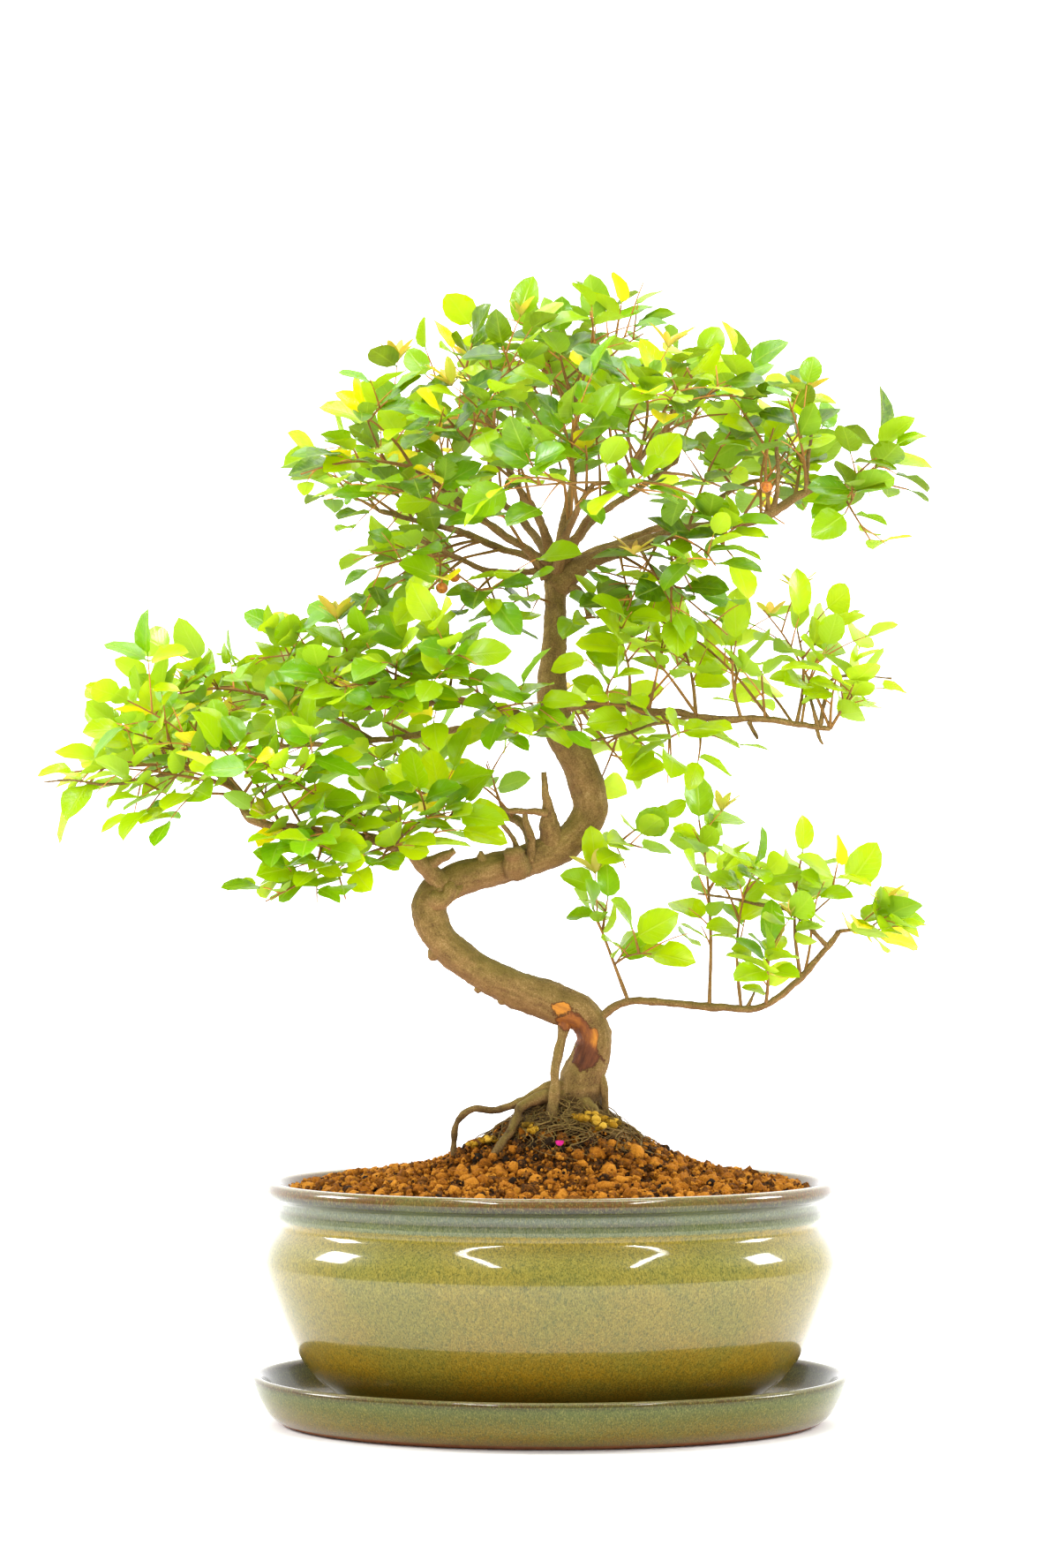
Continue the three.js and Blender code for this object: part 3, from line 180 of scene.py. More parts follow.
# Leafy sprays: name, limb that carries it, place along that limb, then the tips of its stems
SPRAYS = [
    ("crown_far_left", "crown_left_front", 1, [(-93, -25, 419), (-80, -38, 441)]),
    ("crown_left_front", "crown_left_front", 0.55, [(-69, -54, 406)]),
    ("crown_left_end", "crown_left_back", 1, [(-93, 35, 411)]),
    ("crown_left_low", "crown_left_back", 0.5, [(-68, 22, 372)]),
    ("crown_left_back_high", "crown_left_back", 0.7, [(-68, 34, 448)]),
    ("crown_under_left", "crown_fruit", 0.6, [(-56, -38, 359), (-24, -36, 358)]),
    ("crown_top_left", "crown_up_left", 0.85, [(-42, -20, 468), (-11, -48, 460)]),
    ("crown_front_left", "crown_up_left", 0.5, [(-46, -68, 436)]),
    ("crown_top", "crown_up", 0.85, [(4, -8, 477), (38, 10, 480)]),
    ("crown_top_back", "crown_up", 0.6, [(-21, 28, 474)]),
    ("crown_right_high", "crown_up_right", 0.9, [(66, -20, 464), (88, -28, 446)]),
    ("crown_front_right", "crown_up_right", 0.65, [(40, -64, 448)]),
    ("crown_back_right", "crown_back_right", 1, [(72, 72, 457), (90, 76, 414)]),
    ("crown_back_top", "crown_back_right", 0.6, [(27, 58, 468)]),
    ("crown_back_left", "crown_back_left", 1, [(-68, 70, 446), (-52, 82, 400)]),
    ("crown_back_mid", "crown_back_left", 0.6, [(-25, 66, 458)]),
    ("crown_front_low", "crown_front", 1, [(41, -88, 400), (-18, -88, 402)]),
    ("crown_front_mid", "crown_front", 0.6, [(9, -82, 432)]),
    ("crown_right_front", "crown_right", 0.5, [(78, -44, 377)]),
    ("crown_right_up", "crown_right", 0.7, [(97, -24, 434)]),
    ("crown_right_twig", "crown_right", 0.82, [(112, 2, 430)]),
    ("crown_right_tip", "crown_right", 1, [(149, -10, 420), (127, -34, 396)]),
    ("crown_right_back", "crown_right_back", 1, [(114, 46, 414), (84, 42, 440)]),
    ("crown_under_right", "crown_right", 0.32, [(54, -30, 354)]),
    ("left_far_tip", "left_low", 1, [(-207, -16, 285), (-176, -6, 314)]),
    ("left_end", "left_low", 0.86, [(-184, -34, 303), (-173, -42, 268)]),
    ("left_front", "left_low", 0.62, [(-140, -60, 294), (-97, -54, 288)]),
    ("left_big_leaves", "left_low", 0.5, [(-101, -50, 242)]),
    ("left_low_mid", "left_low", 0.3, [(-72, -42, 247), (-47, -40, 268)]),
    ("left_mid_top", "left_high", 1, [(-157, 6, 321)]),
    ("left_top", "left_high", 0.75, [(-126, -26, 324), (-99, 8, 328)]),
    ("left_top_front", "left_high", 0.48, [(-78, -46, 322)]),
    ("left_inner_front", "left_high", 0.3, [(-45, -48, 328), (-19, -46, 308)]),
    ("left_back", "left_back", 0.9, [(-84, 54, 290), (-52, 58, 298)]),
    ("left_back_end", "left_high_back", 1, [(-174, 50, 298)]),
    ("left_back_mid", "left_high_back", 0.6, [(-116, 66, 318)]),
    ("mid_front", "mid_right", 0.3, [(31, -32, 340)]),
    ("mid_twig_up", "mid_right", 0.5, [(57, 8, 344)]),
    ("mid_high", "mid_right", 0.62, [(81, -16, 342), (77, 36, 338)]),
    ("mid_end_high", "mid_right", 0.82, [(109, 2, 347)]),
    ("mid_tip", "mid_right", 1, [(136, -12, 322)]),
    ("mid_low", "mid_right", 0.4, [(52, -32, 292)]),
    ("mid_inner_low", "mid_right", 0.15, [(32, 18, 290)]),
    ("low_twig_up", "low_right", 0.42, [(65, -12, 264)]),
    ("low_mid", "low_right", 0.5, [(88, -24, 243)]),
    ("low_top", "low_right", 0.78, [(109, -28, 250), (129, -22, 236)]),
    ("low_end", "low_right", 1, [(143, -8, 213)]),
    ("low_inner", "low_right", 0.24, [(19, -18, 225), (44, -26, 206)]),
    ("low_front", "low_right", 0.62, [(93, -36, 205)]),
    ("trunk_leaf", "trunk", 0.66, [(40, -14, 252)]),
    ("trunk_high", "trunk", 0.9, [(27, -24, 351)]),
]

# More stems for the sprays: places along the limb that carries the spray, and tips
FILLERS = {
    "left_inner_front": [(0.35, (-52, -36, 284)), (0.22, (-26, -38, 284)), (0.1, (-14, -34, 300))],
    "left_top_front": [(0.5, (-80, -44, 288)), (0.6, (-96, -46, 302))],
    "left_top": [(0.8, (-116, -38, 300)), (0.7, (-104, -30, 284))],
    "left_mid_top": [(0.95, (-140, -22, 300))],
    "left_low_mid": [(0.35, (-88, -40, 270)), (0.25, (-64, -44, 264))],
    "left_big_leaves": [(0.5, (-112, -46, 262))],
    "left_front": [(0.7, (-128, -46, 272))],
    "left_end": [(0.85, (-158, -44, 284))],
    "left_far_tip": [(0.95, (-186, -30, 290))],
    "left_back": [(0.8, (-60, 36, 270)), (0.6, (-30, 40, 288)), (0.5, (-34, 12, 282))],
    "left_back_mid": [(0.5, (-80, 50, 280)), (0.4, (-44, 44, 290))],
    "crown_under_left": [(0.4, (-42, -28, 352))],
    "trunk_high": [(0.92, (-16, -24, 358)), (0.84, (-2, -32, 326))],
    "crown_under_right": [(0.25, (34, -30, 356)), (0.4, (64, -26, 362))],
    "mid_front": [(0.25, (26, -26, 326))],
    "mid_low": [(0.5, (64, -24, 290))],
    "mid_high": [(0.7, (92, -14, 330))],
    "low_top": [(0.8, (112, -18, 236))],
}

# Healed cuts, stubs and bare twigs on the wood, from inside it to their ends
STUBS = [
    [(-14.2, -3, 242.5, 5.4), (-15, -7.2, 246.4, 5.2), (-15.6, -9, 249.6, 4.4),
     (-15.9, -9.6, 252, 3)],
    [(-29.5, -3, 244, 2.8), (-30, -4.2, 247.6, 2.1), (-30.2, -4.6, 250.2, 1)],
    [(-53, -11, 244.5, 3), (-49, -13, 247, 2.3), (-44.8, -13.5, 248.6, 1.9),
     (-41.6, -13.6, 250.8, 1.5)],
    [(-57.5, -13, 246.5, 2.8), (-59, -14.6, 251, 2.1), (-60, -15, 254.6, 1.3)],
    [(-54, -7, 231.4, 3.8), (-51, -11, 229, 4), (-47.4, -12.4, 229.2, 4), (-44.6, -12, 232, 3.6),
     (-43.4, -10, 236.4, 2.6)],
    [(-29.8, -7, 195, 3.4), (-31.2, -8, 191.8, 2.6), (-32.2, -8.4, 189, 1.2)],
    [(-19, -6, 189, 3.2), (-20.4, -7.4, 185.6, 2.2), (-21.2, -7.8, 183.4, 1)],
    [(-48, -8, 208, 3.4), (-50.8, -9, 205, 2.4), (-52.6, -9.4, 203.4, 1)],
    [(-9, -2, 246, 2.3), (-8.5, -5, 255, 1.8), (-10.5, -6, 262, 1.5), (-11, -6, 268, 1.1)],
    [(-14, -3, 246, 1.8), (-15.5, -5, 254, 1.3), (-20, -6, 261, 1), (-24, -6, 266, 0.7)],
    [(-1.5, -4, 267, 1.6), (-9, -7, 268, 1.3), (-19, -9, 268.5, 1.2), (-32, -11, 271, 0.8)],
    [(-2, -2, 370, 2), (-6, -5, 377, 1.6), (-9, -6, 380.5, 1.1)],
    [(10, -3, 366, 2.4), (15, -7, 360, 1.9), (17, -9, 353, 1.3)],
    [(87, -10.5, 307, 1), (89, -12, 302, 0.8), (90.4, -13, 299.5, 0.5)],
    [(116.5, -9.5, 304, 0.9), (118, -10, 300, 0.7), (119.2, -11, 297, 0.4)],
    [(117, -9.5, 304.5, 1.1), (115, -11, 312, 0.9), (113.5, -11, 318, 0.7)],
    [(118, -9.5, 304, 1.1), (119.5, -11, 314, 0.9), (122, -12, 325, 0.8), (134, -13, 327, 0.6),
     (149, -13, 325.7, 0.4)],
    [(86, -12.5, 182, 1.1), (87.4, -13, 185.6, 0.9), (89, -13, 189, 0.5)],
    [(-150, -14, 288, 1.1), (-168, -18, 284, 0.9), (-189, -20, 279, 0.7), (-207, -20, 281, 0.5),
     (-220, -19, 280.5, 0.35)],
    [(-82, -13, 313.5, 1), (-90, -16, 320, 0.8), (-104, -18, 328, 0.6), (-119, -18, 335, 0.4)],
    [(97, -19, 398, 1.3), (98.5, -22, 412, 1), (98, -23, 430, 0.7)],
    [(111.5, -16, 406, 1.2), (112.5, -20, 420, 1), (113.5, -21, 433, 0.7)],
    [(121, -14, 209, 1.2), (106, -18, 223, 0.9), (83, -20, 229, 0.7), (64, -20, 232, 0.45)],
    [(61, -9.5, 309, 0.9), (36, -14, 303, 0.7), (12, -16, 297, 0.4)],
]

# Small fruits: name, spray that carries it, stem, place along that stem
FRUITS = [
    ("fruit_lower", "crown_under_left", 0, 0.62),
    ("fruit_upper", "crown_under_left", 0, 0.3),
    ("fruit_right", "crown_right_up", 0, 0.3),
]


# Numbers, noise and lines


def mix(low: float, high: float, share: float) -> float:
    """The number at a share of the way from low to high."""
    return low + (high - low) * share


def unit(vector: Vec) -> Vec:
    """The vector at length one, or zero if it has no length."""
    length = math.sqrt(float(vector @ vector))
    return vector / (length or 1.0)


def units(vectors: Vec) -> Vec:
    """Each row of an array of vectors at length one."""
    length = np.linalg.norm(vectors, axis=-1, keepdims=True)
    return vectors / np.maximum(length, 1e-12)


def draw(*keys: int) -> float:
    """A repeatable number from 0 to 1.

    Each key is mixed into a 32-bit word by an exclusive or, two products and two shifts.

    Args:
        keys: Whole numbers that name the draw.

    Returns:
        The word over 2 to the power 32.
    """
    word = SEED
    for key in keys:
        word = ((word ^ (key + 0x9E3779B9)) * 0x85EBCA6B) & 0xFFFFFFFF
        word ^= word >> 13
        word = (word * 0xC2B2AE35) & 0xFFFFFFFF
        word ^= word >> 16
    return word / 4294967296


def lattice(cells: Vec, seed: int) -> Vec:
    """A random number from -1 to 1 for each whole-number cell, by a hash of its coordinates.

    Args:
        cells: Whole numbers, with the coordinates last.
        seed: A number that names the hash.

    Returns:
        One number for each cell.
    """
    x, y, z = (cells[..., i].astype(np.int64).astype(np.uint32) for i in range(3))
    word = x * np.uint32(374761393) + y * np.uint32(668265263) + z * np.uint32(2246822519)
    word = word + np.uint32(seed * 3266489917 & 0xFFFFFFFF)
    word = (word ^ (word >> np.uint32(15))) * np.uint32(2246822507)
    word = (word ^ (word >> np.uint32(13))) * np.uint32(3266489909)
    word = word ^ (word >> np.uint32(16))
    return word.astype(np.float64) / 2147483647.5 - 1.0


def noise(points: Vec, scale: float, seed: int, octaves: int = 1) -> Vec:
    """Smooth noise from -1 to 1.

    The value at a point is the mean of the eight cell corners around it, each weighted by
    3t squared less 2t cubed along each axis. Each further octave has half the size and height.

    Args:
        points: Points in millimetres, with the coordinates last.
        scale: Cells per millimetre.
        seed: A number that names the noise.
        octaves: How many sizes are added.

    Returns:
        One number for each point.
    """
    total = np.zeros(points.shape[:-1])
    height = 1.0
    for octave in range(octaves):
        at = points * scale * 2**octave
        cell = np.floor(at)
        share = at - cell
        share = share * share * (3 - 2 * share)
        value = np.zeros(points.shape[:-1])
        for corner in range(8):
            step = np.array([corner & 1, corner >> 1 & 1, corner >> 2 & 1])
            weight = np.prod(np.where(step == 1, share, 1 - share), axis=-1)
            value += weight * lattice(cell + step, seed + 17 * octave)
        total += height * value
        height *= 0.5
    return total


class Line:
    """A smooth line with a radius at each point: a Catmull-Rom spline of tension one half."""

    def __init__(self, points: Sequence[Sequence[float]]) -> None:
        """Keeps the points and a mirrored point before the first and after the last.

        Args:
            points: Rows of x, y, z and radius.
        """
        table = np.array(points, float)
        self.knots = table[:, :3]
        self.radii = table[:, 3]
        before = 2 * self.knots[0] - self.knots[1]
        after = 2 * self.knots[-1] - self.knots[-2]
        self.padded = np.vstack([before, self.knots, after])

    def points(self, shares: Vec) -> Vec:
        """Points at shares of the line.

        Between knots b and c with neighbours a and d, the point at t is the cubic that leaves
        b along half of c less a, and reaches c along half of d less b.

        Args:
            shares: Shares from 0 to 1, by knots.

        Returns:
            One point for each share.
        """
        place = np.clip(np.asarray(shares, float), 0, 1) * (len(self.knots) - 1)
        index = np.minimum(np.floor(place).astype(int), len(self.knots) - 2)
        t = (place - index)[..., None]
        a, b, c, d = (self.padded[index + offset] for offset in range(4))
        leave, reach = (c - a) / 2, (d - b) / 2
        square = -3 * b + 3 * c - 2 * leave - reach
        cube = 2 * b - 2 * c + leave + reach
        return b + leave * t + square * t**2 + cube * t**3

    def tangents(self, shares: Vec) -> Vec:
        """Unit directions along the line, from points a ten-thousandth before and after.

        Args:
            shares: Shares from 0 to 1, by knots.

        Returns:
            One direction for each share.
        """
        shares = np.asarray(shares, float)
        step = 0.0001
        ahead = self.points(np.minimum(shares + step, 1))
        return units(ahead - self.points(np.maximum(shares - step, 0)))

    def radius(self, shares: Vec) -> Vec:
        """Radii at shares of the line, straight from knot to knot."""
        place = np.asarray(shares, float) * (len(self.knots) - 1)
        return np.interp(place, np.arange(len(self.knots)), self.radii)

    def length(self) -> float:
        """The sum of the straight distances between knots."""
        return float(np.linalg.norm(np.diff(self.knots, axis=0), axis=1).sum())

    def at(self, share: float) -> "Place":
        """The point, direction and radius at one share."""
        return Place(self.points(share), self.tangents(share), float(self.radius(share)))


@dataclass(frozen=True)
class Place:
    """A point on a line, with the line's direction and radius there."""

    point: Vec
    tangent: Vec
    radius: float


def limb_line(name: str) -> Line:
    """The line of the trunk or of a named limb."""
    return Line(TRUNK if name == "trunk" else LIMBS[name])


# Growth of the foliage


class Kind(IntEnum):
    """What fills a point of the crown."""

    WOOD = 0
    STEM = 1
    LEAF = 2


CELL = 6
CELL_REACH = 2
CLEAR_OTHER = np.array([[0, 0, 0], [1.8, 3.4, 3.8], [2.6, 3.8, 5.4]])
CLEAR_OWN = np.array([[0, 0, 0], [1.8, 2.4, 2.8], [2.6, 2.8, 4.4]])
CAPACITY = 60000
WOOD_OWNER = -1
FRUIT_OWNER = -2


class Room:
    """What has grown so far, as points that keep others at a distance."""

    def __init__(self) -> None:
        """Makes the empty arrays."""
        self.count = 0
        self.point = np.zeros((CAPACITY, 3))
        self.kind = np.zeros(CAPACITY, int)
        self.owner = np.zeros(CAPACITY, int)
        self.radius = np.zeros(CAPACITY)

    def occupy(self, points: Vec, kind: Kind, owner: int, radius: Vec | float = 0.0) -> None:
        """Adds points of one kind and owner.

        Args:
            points: The points.
            kind: What fills them.
            owner: The plant they belong to.
            radius: How thick it is there.
        """
        span = slice(self.count, self.count + len(points))
        self.point[span] = points
        self.kind[span] = kind
        self.owner[span] = owner
        self.radius[span] = radius
        self.count += len(points)

    def occupy_line(self, line: Line, kind: Kind, owner: int, step: float, thick: bool) -> None:
        """Adds points along a line, about a step apart.

        Args:
            line: The line.
            kind: What fills it.
            owner: The plant it belongs to.
            step: Distance between points.
            thick: Whether the line's radius counts.
        """
        count = math.ceil(line.length() / step)
        shares = np.arange(count + 1) / count
        radius = line.radius(shares) if thick else 0.0
        self.occupy(line.points(shares), kind, owner, radius)

    def is_free(self, points: Vec, kind: Kind, owner: int, ease: float = 1.0) -> bool:
        """Whether all points keep their distance from what stands in the cells around them.

        Args:
            points: The points to test.
            kind: What they belong to.
            owner: The plant they belong to.
            ease: Share of the usual distance that is asked for.

        Returns:
            True if none stands too near.
        """
        if len(points) == 0:
            return True
        reach = CELL * (CELL_REACH + 1)
        near = np.all(self.point[: self.count] >= points.min(0) - reach, axis=1)
        near &= np.all(self.point[: self.count] <= points.max(0) + reach, axis=1)
        others = self.point[: self.count][near]
        own = self.owner[: self.count][near] == owner
        kinds = self.kind[: self.count][near]
        need = np.where(own, CLEAR_OWN[kind][kinds], CLEAR_OTHER[kind][kinds]) * ease
        need = need + self.radius[: self.count][near]
        gap = np.linalg.norm(points[:, None] - others[None], axis=2)
        cells = np.floor(points / CELL)[:, None] - np.floor(others / CELL)[None]
        return not np.any((gap < need) & np.all(np.abs(cells) <= CELL_REACH, axis=2))


@dataclass
class Leaf:
    """A leaf's foot, its three directions, its length and width, and how young it is."""

    base: Vec
    way: Vec
    normal: Vec
    side: Vec
    length: float
    width: float
    young: float = 0.0

    def samples(self) -> Vec:
        """A few points on the blade that keep others at a distance."""
        return self.points(LEAF_SAMPLES[:, 0], LEAF_SAMPLES[:, 1])

    def points(self, along: Vec, across: Vec) -> Vec:
        """Points on the blade.

        A point lies along times the length on the midrib and across times half the width
        beside it. It rises with its distance from the midrib and falls with the square of
        its place along it.

        Args:
            along: Shares of the length.
            across: Shares of the half width.

        Returns:
            One point for each pair.
        """
        rise = LEAF_FOLD * np.abs(across) * self.width * 0.5 - LEAF_DROOP * along**2 * self.length
        step = along[:, None] * self.length * self.way
        return self.base + step + np.outer(across * self.width * 0.5, self.side) + np.outer(
            rise, self.normal
        )


@dataclass
class Site:
    """A place on a twig where other twigs and leaves stand."""

    share: float
    twigs: list["Twig"] = field(default_factory=list)
    leaves: list[Leaf] = field(default_factory=list)


@dataclass
class Twig:
    """A stem or shoot, with its sites and the leaf that closes it."""

    line: Line
    sites: list[Site] = field(default_factory=list)
    tip_leaf: Leaf | None = None
    fresh: float = 0.0
    parent: "Twig | None" = None

    def is_bare(self) -> bool:
        """Whether no leaf stands on it."""
        return self.tip_leaf is None and not any(site.leaves for site in self.sites)


@dataclass
class Plant:
    """A spray while it grows."""

    name: str
    owner: int
    limb: str
    place: float
    stems: list[Twig]
    shoots: list[Twig] = field(default_factory=list)
    extra_twigs: list[Twig] = field(default_factory=list)

    def twigs(self) -> list[Twig]:
        """Its stems, then its shoots, then what was added."""
        return [*self.stems, *self.shoots, *self.extra_twigs]

    def leaves(self) -> list[Leaf]:
        """All its leaves.

        Returns:
            The leaves, twig by twig.
        """
        found = []
        for twig in self.twigs():
            found += [leaf for site in twig.sites for leaf in site.leaves]
            if twig.tip_leaf is not None:
                found.append(twig.tip_leaf)
        return found

    def lowest(self) -> float:
        """The height of its lowest stem or leaf.

        Returns:
            The height in millimetres.
        """
        stems = [twig.line.knots for twig in self.stems]
        blades = [leaf.samples() for leaf in self.leaves()]
        return min(float(points[:, 2].min()) for points in stems + blades)


GAP = 0.3
LEAF_LENGTH = (16, 23)
LEAF_SHARE = (0.57, 0.69)
LEAF_FOLD = 0.28
LEAF_DROOP = 0.14
LEAF_FORWARD = 0.55
LEAF_ASIDE = (0.6, 1.1)
LEAF_RISE = (-0.25, 0.35)
LEAF_STRAY = 0.5
LEAF_FACE = (0.75, 0.65)
FACE_STRAY = 0.9
STEM_RADIUS = 1.1
SHOOT_RADIUS = 0.8
SHOOT_LENGTH = (11, 20)
SHOOT_STEP = 38
SHOOT_SPAN = (0.48, 0.9)
SHOOT_SITE = 0.55
SHOOT_LIFT = 0.08
SHOOT_TURN = (2.4, 2.6)
SHOOT_WAY = (0.5, 1, 0.7, 0.25)
FORK_AT = 0.35
STEM_LIFT = (0.02, 0.16)
STEM_ASIDE = 0.16
STEM_TAPER = 0.65
LIMB_CLEAR = 5
TWIG_CLEAR = 4
STEM_TRIES = 8
LEAF_TRIES = 12
LEAF_APART = 0.72
FRUIT_RADIUS = 2.6
LEAF_SAMPLES = np.array([
    (0.25, 0), (0.5, 0), (0.75, 0), (1, 0), (0.22, -0.55), (0.22, 0.55), (0.38, -0.95),
    (0.38, 0.95), (0.56, -0.9), (0.56, 0.9), (0.74, -0.75), (0.74, 0.75),
])


def stem_line(start: Vec, tip: Vec, radius: float, lift: float, aside: float) -> Line:
    """A stem that bows up in the middle and a little to one side.

    Its four knots lie on the parabola through start and tip, whose control point is the
    middle of the chord, raised by lift and moved by aside times the chord's length.

    Args:
        start: Where it leaves its parent.
        tip: Where it ends.
        radius: Its radius at the start.
        lift: Rise of the control point, per length.
        aside: Its sideways place, per length.

    Returns:
        The line.
    """
    chord = tip - start
    length = float(np.linalg.norm(chord))
    side = unit(np.array([-chord[1], chord[0], 0.0]))
    control = start + chord * 0.5 + UP * lift * length + side * aside * length
    shares = np.array([0, 0.33, 0.67, 1])[:, None]
    points = start * (1 - shares) ** 2 + control * 2 * shares * (1 - shares) + tip * shares**2
    return Line(np.hstack([points, radius * (1 + (STEM_TAPER - 1) * shares)]))


def stem_samples(line: Line, skip: float) -> Vec:
    """Points along a line, about 3 mm apart, without its first stretch next to its parent.

    Args:
        line: The line.
        skip: Length of the stretch that is left out.

    Returns:
        The points.
    """
    length = line.length()
    count = math.ceil(length / 3)
    shares = np.arange(count + 1) / count
    return line.points(shares[shares * length >= skip])


def shoot_shares(line: Line) -> list[float]:
    """Shares of a stem at which side shoots stand, evenly along its outer part."""
    count = max(1, math.floor(line.length() / SHOOT_STEP + 0.5))
    return [mix(*SHOOT_SPAN, (rank + 0.5) / count) for rank in range(count)]


def side_of(line: Line, at: Place) -> float:
    """Which side of a stem a twig goes to: above zero on the left, below zero on the right."""
    return float((line.knots[-1] - at.point) @ np.cross(UP, at.tangent))


def fruit_centre(stem: Twig, place: float) -> Vec:
    """The middle of a fruit that hangs under the straight stretch between two sites.

    Args:
        stem: The stem that bears it.
        place: Its share of the stem.

    Returns:
        The middle.
    """
    shares = [0, *(site.share for site in stem.sites), *shoot_shares(stem.line), 1]
    low = max(share for share in shares if share <= place)
    high = min(share for share in shares if share > place)
    start = stem.line.points(low)
    chord = stem.line.points(high) - start
    way = unit(chord)
    down = unit(-UP + way * way[2])
    centre = start + chord * (place - low) / (high - low)
    return centre + down * (float(stem.line.radius(place)) + GAP + FRUIT_RADIUS)


def make_leaf(at: Place, hand: int, pick: Draw, sizes: Pair, face: Pair) -> Leaf:
    """A leaf that points forward and to one side, with its face up and out from the trunk.

    Args:
        at: Its place on the twig.
        hand: -1 or 1 for a side, 0 for the leaf that closes a twig.
        pick: Gives the draw with a number.
        sizes: Shortest and longest length.
        face: How far the face turns up, and out.

    Returns:
        The leaf.
    """
    side = unit(np.cross(UP, at.tangent))
    way = at.tangent * (1 if hand == 0 else LEAF_FORWARD)
    way = way + side * hand * mix(*LEAF_ASIDE, pick(0)) + UP * mix(*LEAF_RISE, pick(1))
    way = unit(way + LEAF_STRAY * (np.array([pick(2), pick(3), pick(4)]) - 0.5))
    out = unit(np.array([at.point[0], at.point[1] * 3, 0.0]))
    normal = UP * face[0] + out * face[1]
    normal = normal + FACE_STRAY * (np.array([pick(5), pick(6), pick(7)]) - 0.5)
    normal = unit(normal - way * float(normal @ way))
    length = mix(*sizes, pick(8))
    return Leaf(at.point, way, normal, np.cross(normal, way), length,
                length * mix(*LEAF_SHARE, pick(9)))


# What the scene adds to the sprays: thin branches, shoots, leaves and tufts of young leaves
MORE_TRIES = 7
MORE_EASE = 0.5
BRANCHLET_RADIUS = 0.95
BRANCHLET_LIFT = (0.02, 0.2)
BRANCHLET_ASIDE = 0.2
BRANCHLET_SPREAD = 46
BRANCHLET_FRESH = -0.3
LIMB_SPREAD = 0.5
LIMB_START = 0.1
FILLER_SPREAD = 4
FILLER_KEY = 50
MORE_SHOOT_STEP = 12.0
MORE_SHOOT_RADIUS = 0.55
MORE_SHOOT_LENGTH = (9, 26)
MORE_SHOOT_SPAN = (0.25, 0.95)
MORE_LEAF_STEP = 5.5
MORE_LEAF_LENGTH = (12, 22)
MORE_LEAF_SPAN = (0.14, 0.98)
BRANCHLET_LEAF_START = 0.3
TIP_FIRST = 0.45
FLUSH_SHARE = 0.5
FLUSH_LEAVES = 6
FLUSH_TURN = 2.4
FLUSH_RISE = (0.3, 1.4)
FLUSH_LENGTH = (7, 15)
FLUSH_WIDTH = 0.32
EDGE = 0.2
HANG = 7.0
FRUIT_FRONT = (2, 60, 4)
FRUIT_CLEAR = 1.5


class Mass(Enum):
    """The masses of foliage, with the leaves that each of their sprays bears in the end."""

    CROWN = 28
    LEFT = 53
    MID = 21
    LOW = 19
    TRUNK = 9

    @staticmethod
    def of(name: str) -> "Mass":
        """The mass that a spray belongs to, by the first word of its name."""
        return Mass[name.split("_")[0].upper()]

    def face(self) -> Pair:
        """How far its added leaves turn up, and out: they lie flatter in the crown."""
        return (1.1, 0.45) if self is Mass.CROWN else (0.9, 0.7)

    def lighter(self) -> float:
        """Painted light and shade: how far its leaf tints go towards lime, for its mass's light."""
        return {Mass.CROWN: -0.2, Mass.LEFT: 0.44, Mass.MID: 0.72}.get(self, 0.5)

    def thin_branches(self) -> int:
        """How many thin branches each of its sprays gets besides its stems."""
        return {Mass.MID: 2, Mass.LOW: 0, Mass.TRUNK: 0}.get(self, 3)


